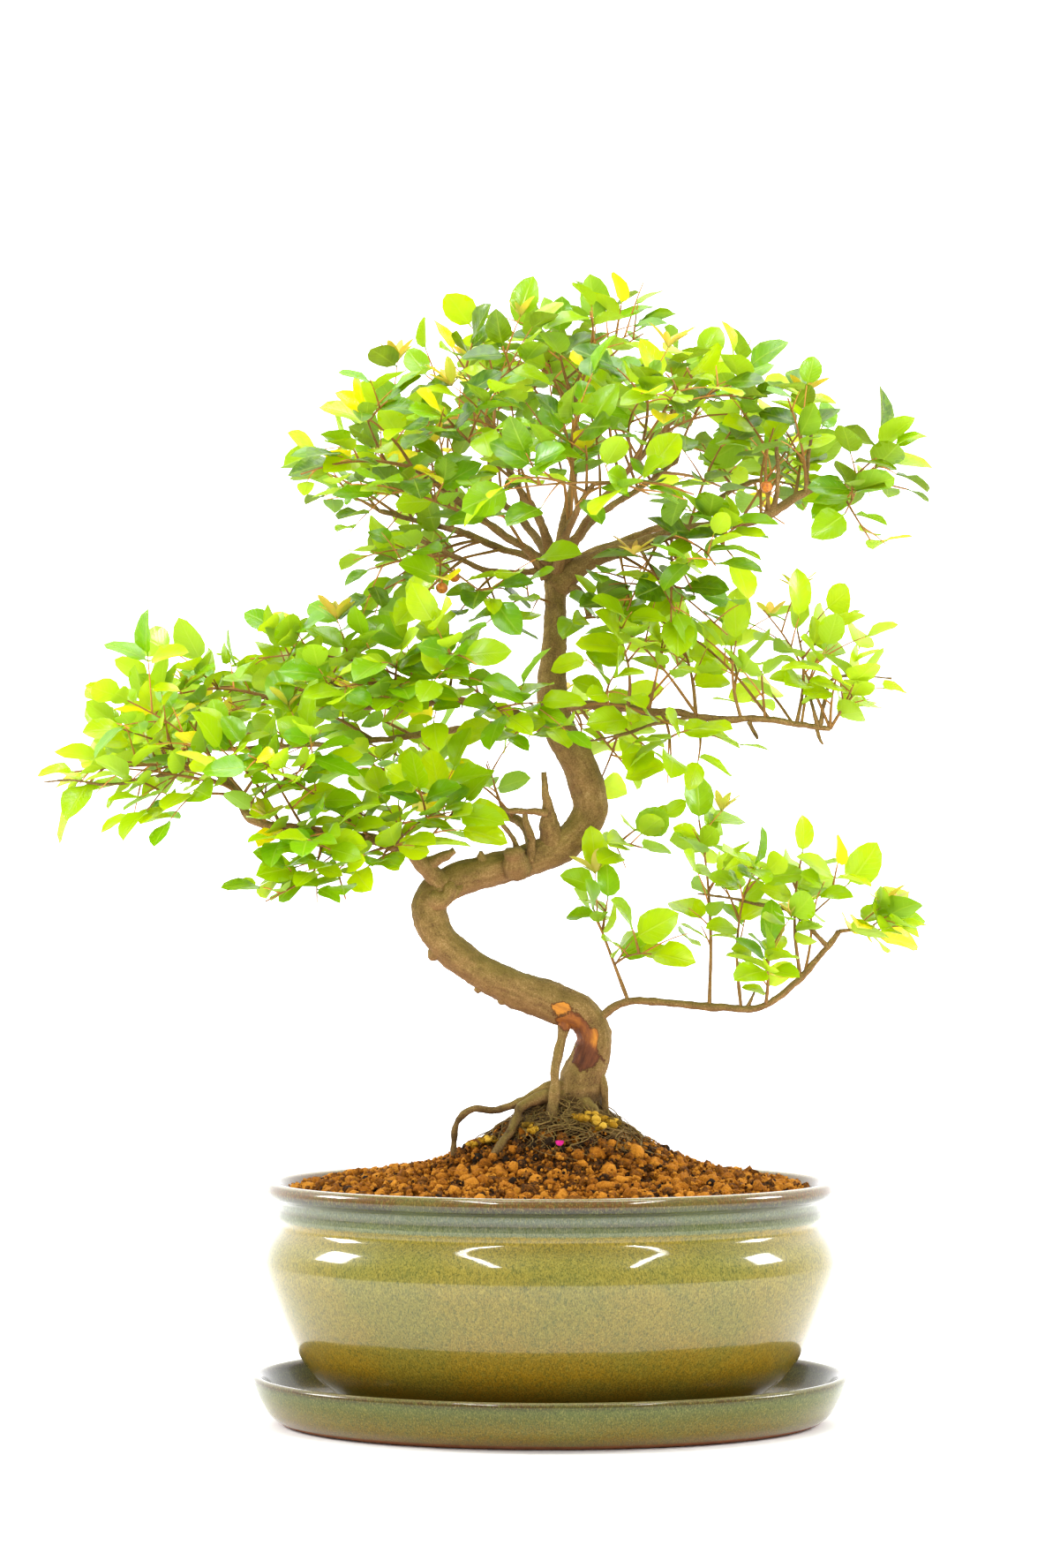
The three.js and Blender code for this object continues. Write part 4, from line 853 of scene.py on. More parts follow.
@dataclass
class Growth:
    """Grows the sprays: stems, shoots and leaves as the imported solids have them, then more."""

    lowest: Vec
    highest: Vec
    room: Room = field(default_factory=Room)
    plants: list[Plant] = field(default_factory=list)
    floors: dict[int, float] = field(default_factory=dict)

    def grow(self) -> None:
        """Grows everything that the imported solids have, in their order."""
        self.room.occupy_line(Line(TRUNK), Kind.WOOD, WOOD_OWNER, 3, True)
        for points in [*LIMBS.values(), *ROOTS]:
            self.room.occupy_line(Line(points), Kind.WOOD, WOOD_OWNER, 2, True)
        for owner, (name, limb, place, tips) in enumerate(SPRAYS):
            stems = self.main_stems(owner, limb, place, tips)
            self.plants.append(Plant(name, owner, limb, place, stems))
        for _, carrier, index, place in FRUITS:
            centre = fruit_centre(self.plant(carrier).stems[index], place)
            self.room.occupy(centre[None], Kind.STEM, FRUIT_OWNER, FRUIT_RADIUS)
        for plant in self.plants:
            for index, stem in enumerate(plant.stems):
                plant.shoots += self.side_shoots(plant.owner, stem, index)
            for shoot in plant.shoots:
                shoot.sites.append(Site(SHOOT_SITE))
        for plant in self.plants:
            for index, twig in enumerate(plant.stems + plant.shoots):
                self.twig_leaves(plant.owner, twig, (plant.owner, 3, index))

    def plant(self, name: str) -> Plant:
        """The plant of a name."""
        return next(plant for plant in self.plants if plant.name == name)

    def first_free(self, owner: int, keys: Keys, skip: float,
                   make: Callable[[Draw], Line], needed: bool) -> Line | None:
        """The first try of a line that lies free, or the last one where it can't be left out.

        Args:
            owner: The plant it belongs to.
            keys: What names the draws.
            skip: Length of its start that may lie close to its parent.
            make: Gives the line for the draws.
            needed: Whether the last try is taken where none lies free.

        Returns:
            The line, or none.
        """
        line = None
        for attempt in range(STEM_TRIES):
            line = make(lambda index: draw(*keys, attempt, index))
            if self.room.is_free(stem_samples(line, skip), Kind.STEM, owner):
                break
        else:
            if not needed:
                return None
        self.room.occupy_line(line, Kind.STEM, owner, 2, False)
        return line

    def main_stems(self, owner: int, limb: str, place: float,
                   tips: Sequence[Sequence[float]]) -> list[Twig]:
        """The first stem grows from the limb, and the others fork from it.

        Args:
            owner: The plant they belong to.
            limb: The limb that carries them.
            place: Share of the limb.
            tips: Where they end.

        Returns:
            The stems.
        """
        root = limb_line(limb).at(place)
        stems: list[Twig] = []
        for index, tip in enumerate(tips):
            start = root.point if index == 0 else stems[0].line.points(FORK_AT)
            radius = STEM_RADIUS if index == 0 else SHOOT_RADIUS
            skip = root.radius + LIMB_CLEAR if index == 0 else TWIG_CLEAR
            make = lambda pick: stem_line(start, np.array(tip, float), radius,
                                          mix(*STEM_LIFT, pick(0)),
                                          mix(-STEM_ASIDE, STEM_ASIDE, pick(1)))
            twig = Twig(self.first_free(owner, (owner, index, 1), skip, make, True))
            if index > 0:
                stems[0].sites.append(Site(FORK_AT, [twig]))
            stems.append(twig)
        return stems

    def shoot_maker(self, stem: Line, share: float, rank: int, radius: float,
                    sizes: Pair) -> Callable[[Draw], Line]:
        """A shoot that leaves its stem at a steep angle and turns up towards the light.

        Its way is a sum of the stem's direction, a turn about the stem by the rank times
        2.4 radians plus a draw, and up.

        Args:
            stem: The line that carries it.
            share: Its place there.
            rank: Its number along the stem.
            radius: Its radius.
            sizes: Shortest and longest length.

        Returns:
            A function of the draws that gives its line.
        """
        at = stem.at(share)
        side = unit(np.cross(UP, at.tangent))
        over = np.cross(at.tangent, side)

        def make(pick: Draw) -> Line:
            """The shoot for these draws.

            Args:
                pick: Gives the draw with a number.

            Returns:
                Its line.
            """
            turn = rank * SHOOT_TURN[0] + pick(0) * SHOOT_TURN[1]
            way = at.tangent * SHOOT_WAY[0] + side * math.cos(turn) * SHOOT_WAY[1]
            way = unit(way + over * math.sin(turn) * SHOOT_WAY[2] + UP * SHOOT_WAY[3])
            tip = at.point + way * mix(*sizes, pick(1))
            return stem_line(at.point, tip, radius, SHOOT_LIFT, 0)

        return make

    def side_shoots(self, owner: int, stem: Twig, index: int) -> list[Twig]:
        """Grows the shoots of a stem.

        Args:
            owner: The plant they belong to.
            stem: The stem.
            index: Its number.

        Returns:
            The shoots.
        """
        shoots = []
        for rank, share in enumerate(shoot_shares(stem.line)):
            make = self.shoot_maker(stem.line, share, rank, SHOOT_RADIUS, SHOOT_LENGTH)
            line = self.first_free(owner, (owner, index, 2, rank), TWIG_CLEAR, make, False)
            twigs = [Twig(line)] if line else []
            stem.sites.append(Site(share, twigs))
            shoots += twigs
        return shoots

    def try_leaf(self, owner: int, at: Place, hand: int, keys: Keys,
                 apart: list[Vec]) -> Leaf | None:
        """The first try of a leaf that lies free and apart from what stands at its foot.

        Args:
            owner: The plant it belongs to.
            at: Its place on the twig.
            hand: -1 or 1 for a side, 0 for the leaf that closes a twig.
            keys: What names the draws.
            apart: Directions that it may not take.

        Returns:
            The leaf, or none.
        """
        for attempt in range(LEAF_TRIES):
            leaf = make_leaf(at, hand, lambda index: draw(*keys, attempt, index), LEAF_LENGTH,
                             LEAF_FACE)
            if any(float(leaf.way @ way) > LEAF_APART for way in apart):
                continue
            samples = leaf.samples()
            if self.room.is_free(samples, Kind.LEAF, owner):
                self.room.occupy(samples, Kind.LEAF, owner)
                return leaf
        return None

    def twig_leaves(self, owner: int, twig: Twig, keys: Keys) -> None:
        """One leaf closes the twig, and a pair or the rest of a pair stands at each site.

        Args:
            owner: The plant they belong to.
            twig: The twig.
            keys: What names the draws.
        """
        twig.tip_leaf = self.try_leaf(owner, twig.line.at(1), 0, (*keys, 0), [])
        for index, site in enumerate(twig.sites):
            if site.share == FORK_AT:
                continue
            at = twig.line.at(site.share)
            apart = [at.tangent, *(one.line.tangents(0.1) for one in site.twigs)]
            for hand in (-1, 1):
                if site.twigs and hand * side_of(site.twigs[0].line, at) > 0:
                    continue
                leaf = self.try_leaf(owner, at, hand, (*keys, index + 1, hand + 1), apart)
                if leaf is not None:
                    site.leaves.append(leaf)
                    apart.append(leaf.way)

    def fill(self) -> None:
        """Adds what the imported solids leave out: thin branches, shoots, leaves, new flushes."""
        self.floors = {plant.owner: plant.lowest() - HANG for plant in self.plants}
        for _, carrier, index, place in FRUITS:
            centre = fruit_centre(self.plant(carrier).stems[index], place)
            front = centre - np.outer(np.arange(*FRUIT_FRONT), [0, 1, 0])
            self.room.occupy(front, Kind.STEM, FRUIT_OWNER, FRUIT_RADIUS + FRUIT_CLEAR)
        for name, stems in FILLERS.items():
            plant = self.plant(name)
            for place, tip in stems:
                keys = (plant.owner, 4, FILLER_KEY + len(plant.extra_twigs))
                root = limb_line(plant.limb).at(place)
                self.branchlet(plant, root, np.array(tip, float), FILLER_SPREAD, keys)
        for plant in self.plants:
            self.branchlets(plant)
        for plant in self.plants:
            self.more_shoots(plant)
        for plant in self.plants:
            self.more_leaves(plant, Mass.of(plant.name))
            self.flush(plant)

    def add_twig(self, plant: Plant, keys: Keys, skip: float, make: Callable[[Draw], Line],
                 fresh: float, parent: Twig | None = None) -> None:
        """Adds a twig to a plant, if one try of its line lies free.

        Args:
            plant: The plant.
            keys: What names the draws.
            skip: Length of the first stretch that may lie close to the parent.
            make: Gives the line for the draws.
            fresh: How young it is.
            parent: The twig that carries it, or none for the wood.
        """
        for attempt in range(MORE_TRIES):
            line = make(lambda index: draw(*keys, attempt, index))
            if self.fits(stem_samples(line, skip), Kind.STEM, plant.owner):
                self.room.occupy_line(line, Kind.STEM, plant.owner, 2, False)
                plant.extra_twigs.append(Twig(line, fresh=fresh, parent=parent))
                return

    def branchlet(self, plant: Plant, root: Place, tip: Vec, spread: float,
                  keys: Keys) -> None:
        """Adds a thin branch from the wood to near a tip.

        Args:
            plant: The plant that gets it.
            root: Its place on the limb.
            tip: The point that it aims at.
            spread: How far its end may lie from there, twice over.
            keys: What names the draws.
        """

        def make(pick: Draw) -> Line:
            """The branch for these draws.

            Args:
                pick: Gives the draw with a number.

            Returns:
                Its line.
            """
            goal = tip + spread * (np.array([pick(0), pick(1), 0.6 * pick(2) + 0.2]) - 0.5)
            return stem_line(root.point, goal, BRANCHLET_RADIUS, mix(*BRANCHLET_LIFT, pick(3)),
                             mix(-BRANCHLET_ASIDE, BRANCHLET_ASIDE, pick(4)))

        self.add_twig(plant, keys, root.radius + TWIG_CLEAR, make, BRANCHLET_FRESH)

    def branchlets(self, plant: Plant) -> None:
        """Adds thin branches from the limb that carries the plant to around its stems' tips.

        Args:
            plant: The plant.
        """
        limb = limb_line(plant.limb)
        for rank in range(Mass.of(plant.name).thin_branches()):
            keys = (plant.owner, 4, rank)
            share = plant.place + LIMB_SPREAD * (draw(*keys, 90) - 0.5)
            stem = plant.stems[rank % len(plant.stems)].line
            root = limb.at(min(1.0, max(LIMB_START, share)))
            self.branchlet(plant, root, stem.knots[-1], BRANCHLET_SPREAD, keys)

    def fits(self, samples: Vec, kind: Kind, owner: int) -> bool:
        """Whether points lie in the box, above their plant's floor and clear of the rest."""
        above = float(samples[:, 2].min()) > self.floors[owner]
        return above and self.inside(samples) and self.room.is_free(samples, kind, owner, MORE_EASE)

    def more_shoots(self, plant: Plant) -> None:
        """Adds side shoots along the stems and shoots of a plant.

        Args:
            plant: The plant.
        """
        for rank, twig in enumerate(plant.twigs()):
            count = max(1, round(twig.line.length() / MORE_SHOOT_STEP))
            for place in range(count):
                share = mix(*MORE_SHOOT_SPAN, (place + 0.5) / count)
                keys = (plant.owner, 5, rank, place)
                make = self.shoot_maker(twig.line, share, rank + place, MORE_SHOOT_RADIUS,
                                        MORE_SHOOT_LENGTH)
                self.add_twig(plant, keys, TWIG_CLEAR, make, draw(*keys, 99), twig)

    def more_leaves(self, plant: Plant, mass: Mass) -> None:
        """Adds leaves in pairs along all twigs, in a drawn order, up to the wanted number.

        The tips of the added shoots come early in the order. What stays bare is taken off.

        Args:
            plant: The plant.
            mass: The mass it belongs to, which gives how many leaves it bears in the end.
        """
        missing = mass.value - len(plant.leaves())
        sites = []
        for rank, twig in enumerate(plant.twigs()):
            count = max(1, round(twig.line.length() / MORE_LEAF_STEP))
            start = BRANCHLET_LEAF_START if twig.fresh < 0 else MORE_LEAF_SPAN[0]
            for place in range(count):
                for hand in (-1, 1):
                    order = draw(plant.owner, 6, rank, place, hand + 1)
                    share = mix(start, MORE_LEAF_SPAN[1], (place + 0.5) / count)
                    sites.append((order, rank, share, hand, twig))
            if twig in plant.extra_twigs:
                order = TIP_FIRST * draw(plant.owner, 6, rank, 99)
                sites.append((order, rank, 1.0, 0, twig))
        for order, rank, share, hand, twig in sorted(sites, key=lambda one: one[:4]):
            if missing <= 0:
                break
            keys = (plant.owner, 7, rank, int(order * 1e6))
            at = twig.line.at(share)
            for attempt in range(MORE_TRIES):
                leaf = make_leaf(at, hand, lambda index: draw(*keys, attempt, index),
                                 MORE_LEAF_LENGTH, mass.face())
                samples = leaf.samples()
                if self.fits(samples, Kind.LEAF, plant.owner):
                    self.room.occupy(samples, Kind.LEAF, plant.owner)
                    twig.sites.append(Site(share, leaves=[leaf]))
                    missing -= 1
                    break
        for _ in range(2):
            parents = [id(twig.parent) for twig in plant.extra_twigs]
            plant.extra_twigs = [twig for twig in plant.extra_twigs
                                 if not twig.is_bare() or id(twig) in parents]

    def flush(self, plant: Plant) -> None:
        """Adds an open tuft of small young leaves to the highest twig of some plants.

        Args:
            plant: The plant.
        """
        if draw(plant.owner, 8) > FLUSH_SHARE or plant.limb == "trunk":
            return
        twigs = [twig for twig in plant.extra_twigs + plant.stems if not twig.is_bare()]
        twig = max(twigs, key=lambda one: one.line.knots[-1][2])
        at = twig.line.at(1)
        for rank in range(FLUSH_LEAVES):
            pick = lambda index: draw(plant.owner, 8, rank, index)
            turn = rank * FLUSH_TURN + pick(0)
            ring = np.array([math.cos(turn), math.sin(turn), 0.0])
            way = unit(0.5 * at.tangent + UP * mix(*FLUSH_RISE, pick(3)) + ring)
            normal = unit(UP - way * float(way[2]) - 0.3 * ring)
            normal = unit(normal - way * float(normal @ way))
            length = mix(*FLUSH_LENGTH, pick(1))
            leaf = Leaf(at.point, way, normal, np.cross(normal, way), length,
                        length * FLUSH_WIDTH, mix(0.5, 1.0, pick(2)))
            if self.inside(leaf.samples()):
                twig.sites.append(Site(1.0, leaves=[leaf]))

    def inside(self, points: Vec) -> bool:
        """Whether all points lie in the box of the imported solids."""
        return bool(np.all(points > self.lowest) and np.all(points < self.highest))


# Meshes from arrays

# How numbers, vectors and colours are stored, by the shape of a value
ATTRIBUTES = {
    (): ("FLOAT", "value"), (3,): ("FLOAT_VECTOR", "vector"), (4,): ("FLOAT_COLOR", "color"),
}


@dataclass
class Sheaf:
    """Surfaces that are gathered into one mesh, each with values for its points or faces."""

    points: list[Vec] = field(default_factory=list)
    faces: list[Vec] = field(default_factory=list)
    on_points: list[dict[str, Vec]] = field(default_factory=list)
    on_faces: list[tuple[int, dict[str, Vec]]] = field(default_factory=list)
    count: int = 0

    def add(self, points: Vec, faces: Sequence[Vec], on_points: dict[str, Vec] | None = None,
            on_faces: dict[str, Vec] | None = None) -> None:
        """Adds a surface.

        Args:
            points: Its points in millimetres.
            faces: Arrays of corner numbers, each with three or four columns.
            on_points: Values for its points, or one for all.
            on_faces: Values for its faces, or one for all.
        """
        self.points.append(points.reshape(-1, 3))
        self.faces += [group + self.count for group in faces]
        self.on_points.append(on_points or {})
        self.on_faces.append((sum(len(group) for group in faces), on_faces or {}))
        self.count += len(self.points[-1])

    def mesh(self, name: str) -> Piece:
        """Makes the object, in metres, at the origin, with smooth faces.

        Args:
            name: The piece's name.

        Returns:
            The linked object.
        """
        points = np.vstack(self.points) * MM
        corners = np.concatenate([group.reshape(-1) for group in self.faces])
        sizes = np.concatenate([np.full(len(group), group.shape[1]) for group in self.faces])
        mesh = bpy.data.meshes.new(name)
        mesh.vertices.add(len(points))
        mesh.vertices.foreach_set("co", points.reshape(-1).astype(np.float32))
        mesh.loops.add(len(corners))
        mesh.loops.foreach_set("vertex_index", corners.astype(np.int32))
        mesh.polygons.add(len(sizes))
        starts = np.concatenate([[0], np.cumsum(sizes)[:-1]])
        mesh.polygons.foreach_set("loop_start", starts.astype(np.int32))
        mesh.polygons.foreach_set("use_smooth", np.full(len(sizes), True))
        mesh.update(calc_edges=True)
        counts = [len(part) for part in self.points]
        self.store(mesh, "POINT", list(zip(counts, self.on_points)))
        self.store(mesh, "FACE", self.on_faces)
        piece = bpy.data.objects.new(name, mesh)
        bpy.context.scene.collection.objects.link(piece)
        return piece

    def store(self, mesh: bpy.types.Mesh, domain: str,
              parts: Sequence[tuple[int, dict[str, Vec]]]) -> None:
        """Stores the values of one domain, with zeros where a surface gave none.

        Args:
            mesh: The mesh.
            domain: POINT or FACE.
            parts: For each surface its count of points or faces, and its values.
        """
        widths = {name: np.shape(value)[1:] for _, values in parts
                  for name, value in values.items()}
        for name, width in widths.items():
            filled = [np.broadcast_to(values.get(name, 0.0), (count, *width))
                      for count, values in parts]
            kind, key = ATTRIBUTES[width]
            layer = mesh.attributes.new(name, kind, domain)
            layer.data.foreach_set(key, np.concatenate(filled).reshape(-1).astype(np.float32))


def columns(*parts: Vec) -> Vec:
    """Arrays side by side, as the last axis of one."""
    return np.stack(parts, axis=-1)


def turns(sides: int) -> Vec:
    """The angles of points that stand evenly round a ring."""
    return np.arange(sides) / sides * 2 * np.pi


def runs(points: Vec) -> Vec:
    """How far each point lies along the straight stretches between them."""
    steps = np.linalg.norm(np.diff(points, axis=0), axis=1)
    return np.concatenate([[0], np.cumsum(steps)])


def one_piece(name: str, points: Vec, faces: Sequence[Vec],
              values: dict[str, Vec] | None = None) -> Piece:
    """A piece of one surface, with values for its points.

    Args:
        name: The piece's name.
        points: Its points in millimetres.
        faces: Arrays of corner numbers.
        values: Values for its points.

    Returns:
        The linked object.
    """
    sheaf = Sheaf()
    sheaf.add(points, faces, values)
    return sheaf.mesh(name)


def grid_faces(rows: int, sides: int, wrap: bool) -> Vec:
    """Four-cornered faces between the rows of a grid, closed round its sides if wrap is set.

    Args:
        rows: Number of rows.
        sides: Points in each row.
        wrap: Whether each row is a ring.

    Returns:
        Four corner numbers for each face.
    """
    row, side = np.meshgrid(np.arange(rows - 1), np.arange(sides if wrap else sides - 1),
                            indexing="ij")
    after = (side + 1) % sides
    quads = [row * sides + side, row * sides + after, (row + 1) * sides + after,
             (row + 1) * sides + side]
    return columns(*quads).reshape(-1, 4)


def tube(centre: Vec, sides: int, radii: Vec) -> Surface:
    """A closed tube round a row of points.

    A point is the middle of its ring plus the radius times the cosine of its turn across
    the tube and the sine beside it. Across is the axis least in line with the tube, squared
    against its direction. A point on the middle closes each end.

    Args:
        centre: Middles of the rings.
        sides: Points in each ring.
        radii: Radii with one row for each ring, and one column for each side or one in all.

    Returns:
        The points and the faces.
    """
    tangent = units(np.gradient(centre, axis=0))
    axis = np.eye(3)[np.argmin(np.abs(tangent).max(axis=0))]
    across = units(axis - tangent * (tangent @ axis)[:, None])
    beside = np.cross(tangent, across)
    turn = turns(sides)
    ring = np.cos(turn)[:, None] * across[:, None] + np.sin(turn)[:, None] * beside[:, None]
    points = centre[:, None] + ring * np.broadcast_to(radii, (len(centre), sides))[..., None]
    return close_rings(points, centre[0], centre[-1])


def close_rings(rings: Vec, first: Vec, last: Vec) -> Surface:
    """Joins rings to a surface that a point closes at each end.

    Args:
        rings: Points by ring and side.
        first: The point that closes the first ring.
        last: The point that closes the last ring.

    Returns:
        The points and the faces.
    """
    rows, sides = rings.shape[:2]
    side = np.arange(sides)
    after = (side + 1) % sides
    top = (rows - 1) * sides
    caps = [columns(np.full(sides, rows * sides), after, side),
            columns(np.full(sides, rows * sides + 1), top + side, top + after)]
    points = np.vstack([rings.reshape(-1, 3), [first], [last]])
    return points, [grid_faces(rows, sides, True), *caps]


# Finishes


def linear(red: float, green: float, blue: float) -> Colour:
    """A colour for a shader from the 0 to 255 numbers of a screen.

    Args:
        red: Its red.
        green: Its green.
        blue: Its blue.

    Returns:
        The colour as light adds up, and opaque.
    """
    values = [channel / 255 for channel in (red, green, blue)]
    out = [v / 12.92 if v <= 0.04045 else ((v + 0.055) / 1.055) ** 2.4 for v in values]
    return (out[0], out[1], out[2], 1.0)


class Shader:
    """The nodes of a material or of the world, built by short calls."""

    def __init__(self, name: str, world: bool = False) -> None:
        """Starts an empty node tree with an output.

        Args:
            name: The material's or the world's name.
            world: Whether it is the world.
        """
        self.owner = (bpy.data.worlds if world else bpy.data.materials).new(name)
        self.owner.use_nodes = True
        self.tree = self.owner.node_tree
        self.tree.nodes.clear()
        kind = "ShaderNodeOutputWorld" if world else "ShaderNodeOutputMaterial"
        self.output = self.tree.nodes.new(kind)

    def node(self, kind: str, inputs: dict[str | int, object] | None = None,
             **settings: object) -> bpy.types.Node:
        """Adds a node.

        Args:
            kind: Its type.
            inputs: Values for its inputs, or outputs to link to them, by name or number.
            settings: Values for its properties.

        Returns:
            The node.
        """
        made = self.tree.nodes.new(kind)
        for key, value in settings.items():
            setattr(made, key, value)
        for key, value in (inputs or {}).items():
            if isinstance(value, Wire):
                value = value.socket
            if isinstance(value, Socket):
                self.tree.links.new(value, made.inputs[key])
            else:
                made.inputs[key].default_value = value
        return made

    def wire(self, kind: str, inputs: dict[str | int, object] | None = None,
             output: str | int = 0, **settings: object) -> "Wire":
        """Adds a node and gives one of its outputs."""
        return Wire(self, self.node(kind, inputs, **settings).outputs[output])

    def step(self, operation: str, first: object, second: object = 0.0) -> "Wire":
        """One step of arithmetic."""
        return self.wire("ShaderNodeMath", {0: first, 1: second}, operation=operation)

    def span(self, value: "Wire", low: float, high: float) -> "Wire":
        """How far a value has come from low to high, as a smooth number from 0 to 1."""
        inputs = {"Value": value, "From Min": low, "From Max": high}
        return self.wire("ShaderNodeMapRange", inputs, interpolation_type="SMOOTHSTEP")

    def mix(self, share: object, first: object, second: object) -> "Wire":
        """A colour between two others."""
        return self.wire("ShaderNodeMix", {0: share, 6: first, 7: second}, 2, data_type="RGBA")

    def object_place(self, scale: Triple = (1, 1, 1)) -> "Wire":
        """Object coordinates, stretched."""
        place = self.wire("ShaderNodeTexCoord", output="Object")
        return self.wire("ShaderNodeMapping", {"Vector": place, "Scale": scale})

    def part(self, place: "Wire", axis: str) -> "Wire":
        """One coordinate of a place."""
        return self.wire("ShaderNodeSeparateXYZ", {0: place}, axis)

    def noise(self, place: "Wire", scale: float, detail: float = 2.0,
              roughness: float = 0.5) -> "Wire":
        """Smooth noise about one half."""
        inputs = {"Vector": place, "Scale": scale, "Detail": detail, "Roughness": roughness}
        return self.wire("ShaderNodeTexNoise", inputs, "Fac")

    def ramp(self, value: "Wire", stops: Sequence[tuple[float, Triple]]) -> "Wire":
        """A colour from screen colours that stand along a value from 0 to 1.

        Args:
            value: The value.
            stops: Places and colours, in order.

        Returns:
            The colour.
        """
        node = self.node("ShaderNodeValToRGB", {0: value})
        elements = node.color_ramp.elements
        for element, (place, colour) in zip(elements, (stops[0], stops[-1])):
            element.position, element.color = place, linear(*colour)
        for place, colour in stops[1:-1]:
            elements.new(place).color = linear(*colour)
        return Wire(self, node.outputs[0])

    def value_of(self, name: str) -> "Wire":
        """A number that the mesh holds."""
        return self.wire("ShaderNodeAttribute", output="Fac", attribute_name=name)

    def vector_of(self, name: str) -> "Wire":
        """A vector or colour that the mesh holds."""
        return self.wire("ShaderNodeAttribute", output="Color", attribute_name=name)

    def bump(self, height: "Wire", strength: float, distance: float) -> "Wire":
        """A normal that is tilted by a height."""
        inputs = {"Height": height, "Strength": strength, "Distance": distance}
        return self.wire("ShaderNodeBump", inputs)

    def finish(self, **inputs: object) -> Material:
        """Adds the surface shader, whose inputs are named with underscores for spaces."""
        named = {key.replace("_", " "): value for key, value in inputs.items()}
        return self.close(self.node("ShaderNodeBsdfPrincipled", named))

    def close(self, last: bpy.types.Node) -> Material | bpy.types.World:
        """Links the last shader to the output and gives the material or the world."""
        self.tree.links.new(last.outputs[0], self.output.inputs["Surface"])
        return self.owner


@dataclass(frozen=True)
class Wire:
    """A node's output, which adds, subtracts and multiplies as a number does."""

    shader: Shader
    socket: Socket

    def __add__(self, other: object) -> "Wire":
        """The sum."""
        return self.shader.step("ADD", self, other)

    def __sub__(self, other: object) -> "Wire":
        """The difference."""
        return self.shader.step("SUBTRACT", self, other)

    def __rsub__(self, other: object) -> "Wire":
        """A number less the output."""
        return self.shader.step("SUBTRACT", other, self)

    def __mul__(self, other: object) -> "Wire":
        """The product."""
        return self.shader.step("MULTIPLY", self, other)


@dataclass(frozen=True)
class GlazeFinish:
    """A glossy stoneware glaze whose colour changes with height and is full of fine specks."""

    name: str
    top: float
    stops: tuple[tuple[float, Triple], ...]
    clay_below: float
    index: float

    def material(self) -> Material:
        """Builds the glaze.

        The height above the base, moved a little by noise that is drawn out downwards, picks
        a colour from the stops. Streaks and grains darken it to green or lighten it to cream,
        and broad clouds turn it a little greener.

        Returns:
            The material.
        """
        shader = Shader(self.name)
        place = shader.object_place()
        height = shader.part(place, "Z")
        streaks = shader.noise(shader.object_place((1, 1, 0.28)), 900, 3, 0.65)
        clouds = shader.noise(place, 24, 3, 0.55)
        grains = shader.noise(shader.object_place((1, 1, 0.5)), 1900, 2, 0.7)
        share = (height + (streaks - 0.5) * 0.0022) * (1 / (self.top * MM))
        body = shader.ramp(share, [(z / self.top, colour) for z, colour in self.stops])
        for spots, low, high, most, colour in (
            (clouds, 0.44, 0.66, 0.3, (84, 98, 38)), (streaks, 0.48, 0.62, 0.5, (70, 78, 26)),
            (grains, 0.52, 0.62, 0.6, (44, 50, 16)), (grains, 0.46, 0.34, 0.14, (206, 190, 100)),
        ):
            body = shader.mix(shader.span(spots, low, high) * most, body, linear(*colour))
        clay = shader.mix(shader.noise(place, 300, 3), linear(94, 50, 24), linear(136, 84, 46))
        bare = shader.span(height * -1000, -self.clay_below - 0.3, -self.clay_below + 0.3)
        swell = shader.noise(place, 55, 2, 0.4) * 3 + grains * 0.16
        normal = shader.bump(swell, 0.06, 0.001)
        return shader.finish(Base_Color=shader.mix(bare, body, clay), Roughness=bare * 0.3 + 0.36,
                             IOR=self.index, Specular_IOR_Level=0.22, Normal=normal,
                             Coat_Weight=1 - bare, Coat_Roughness=0.04, Coat_IOR=self.index,
                             Coat_Normal=normal)


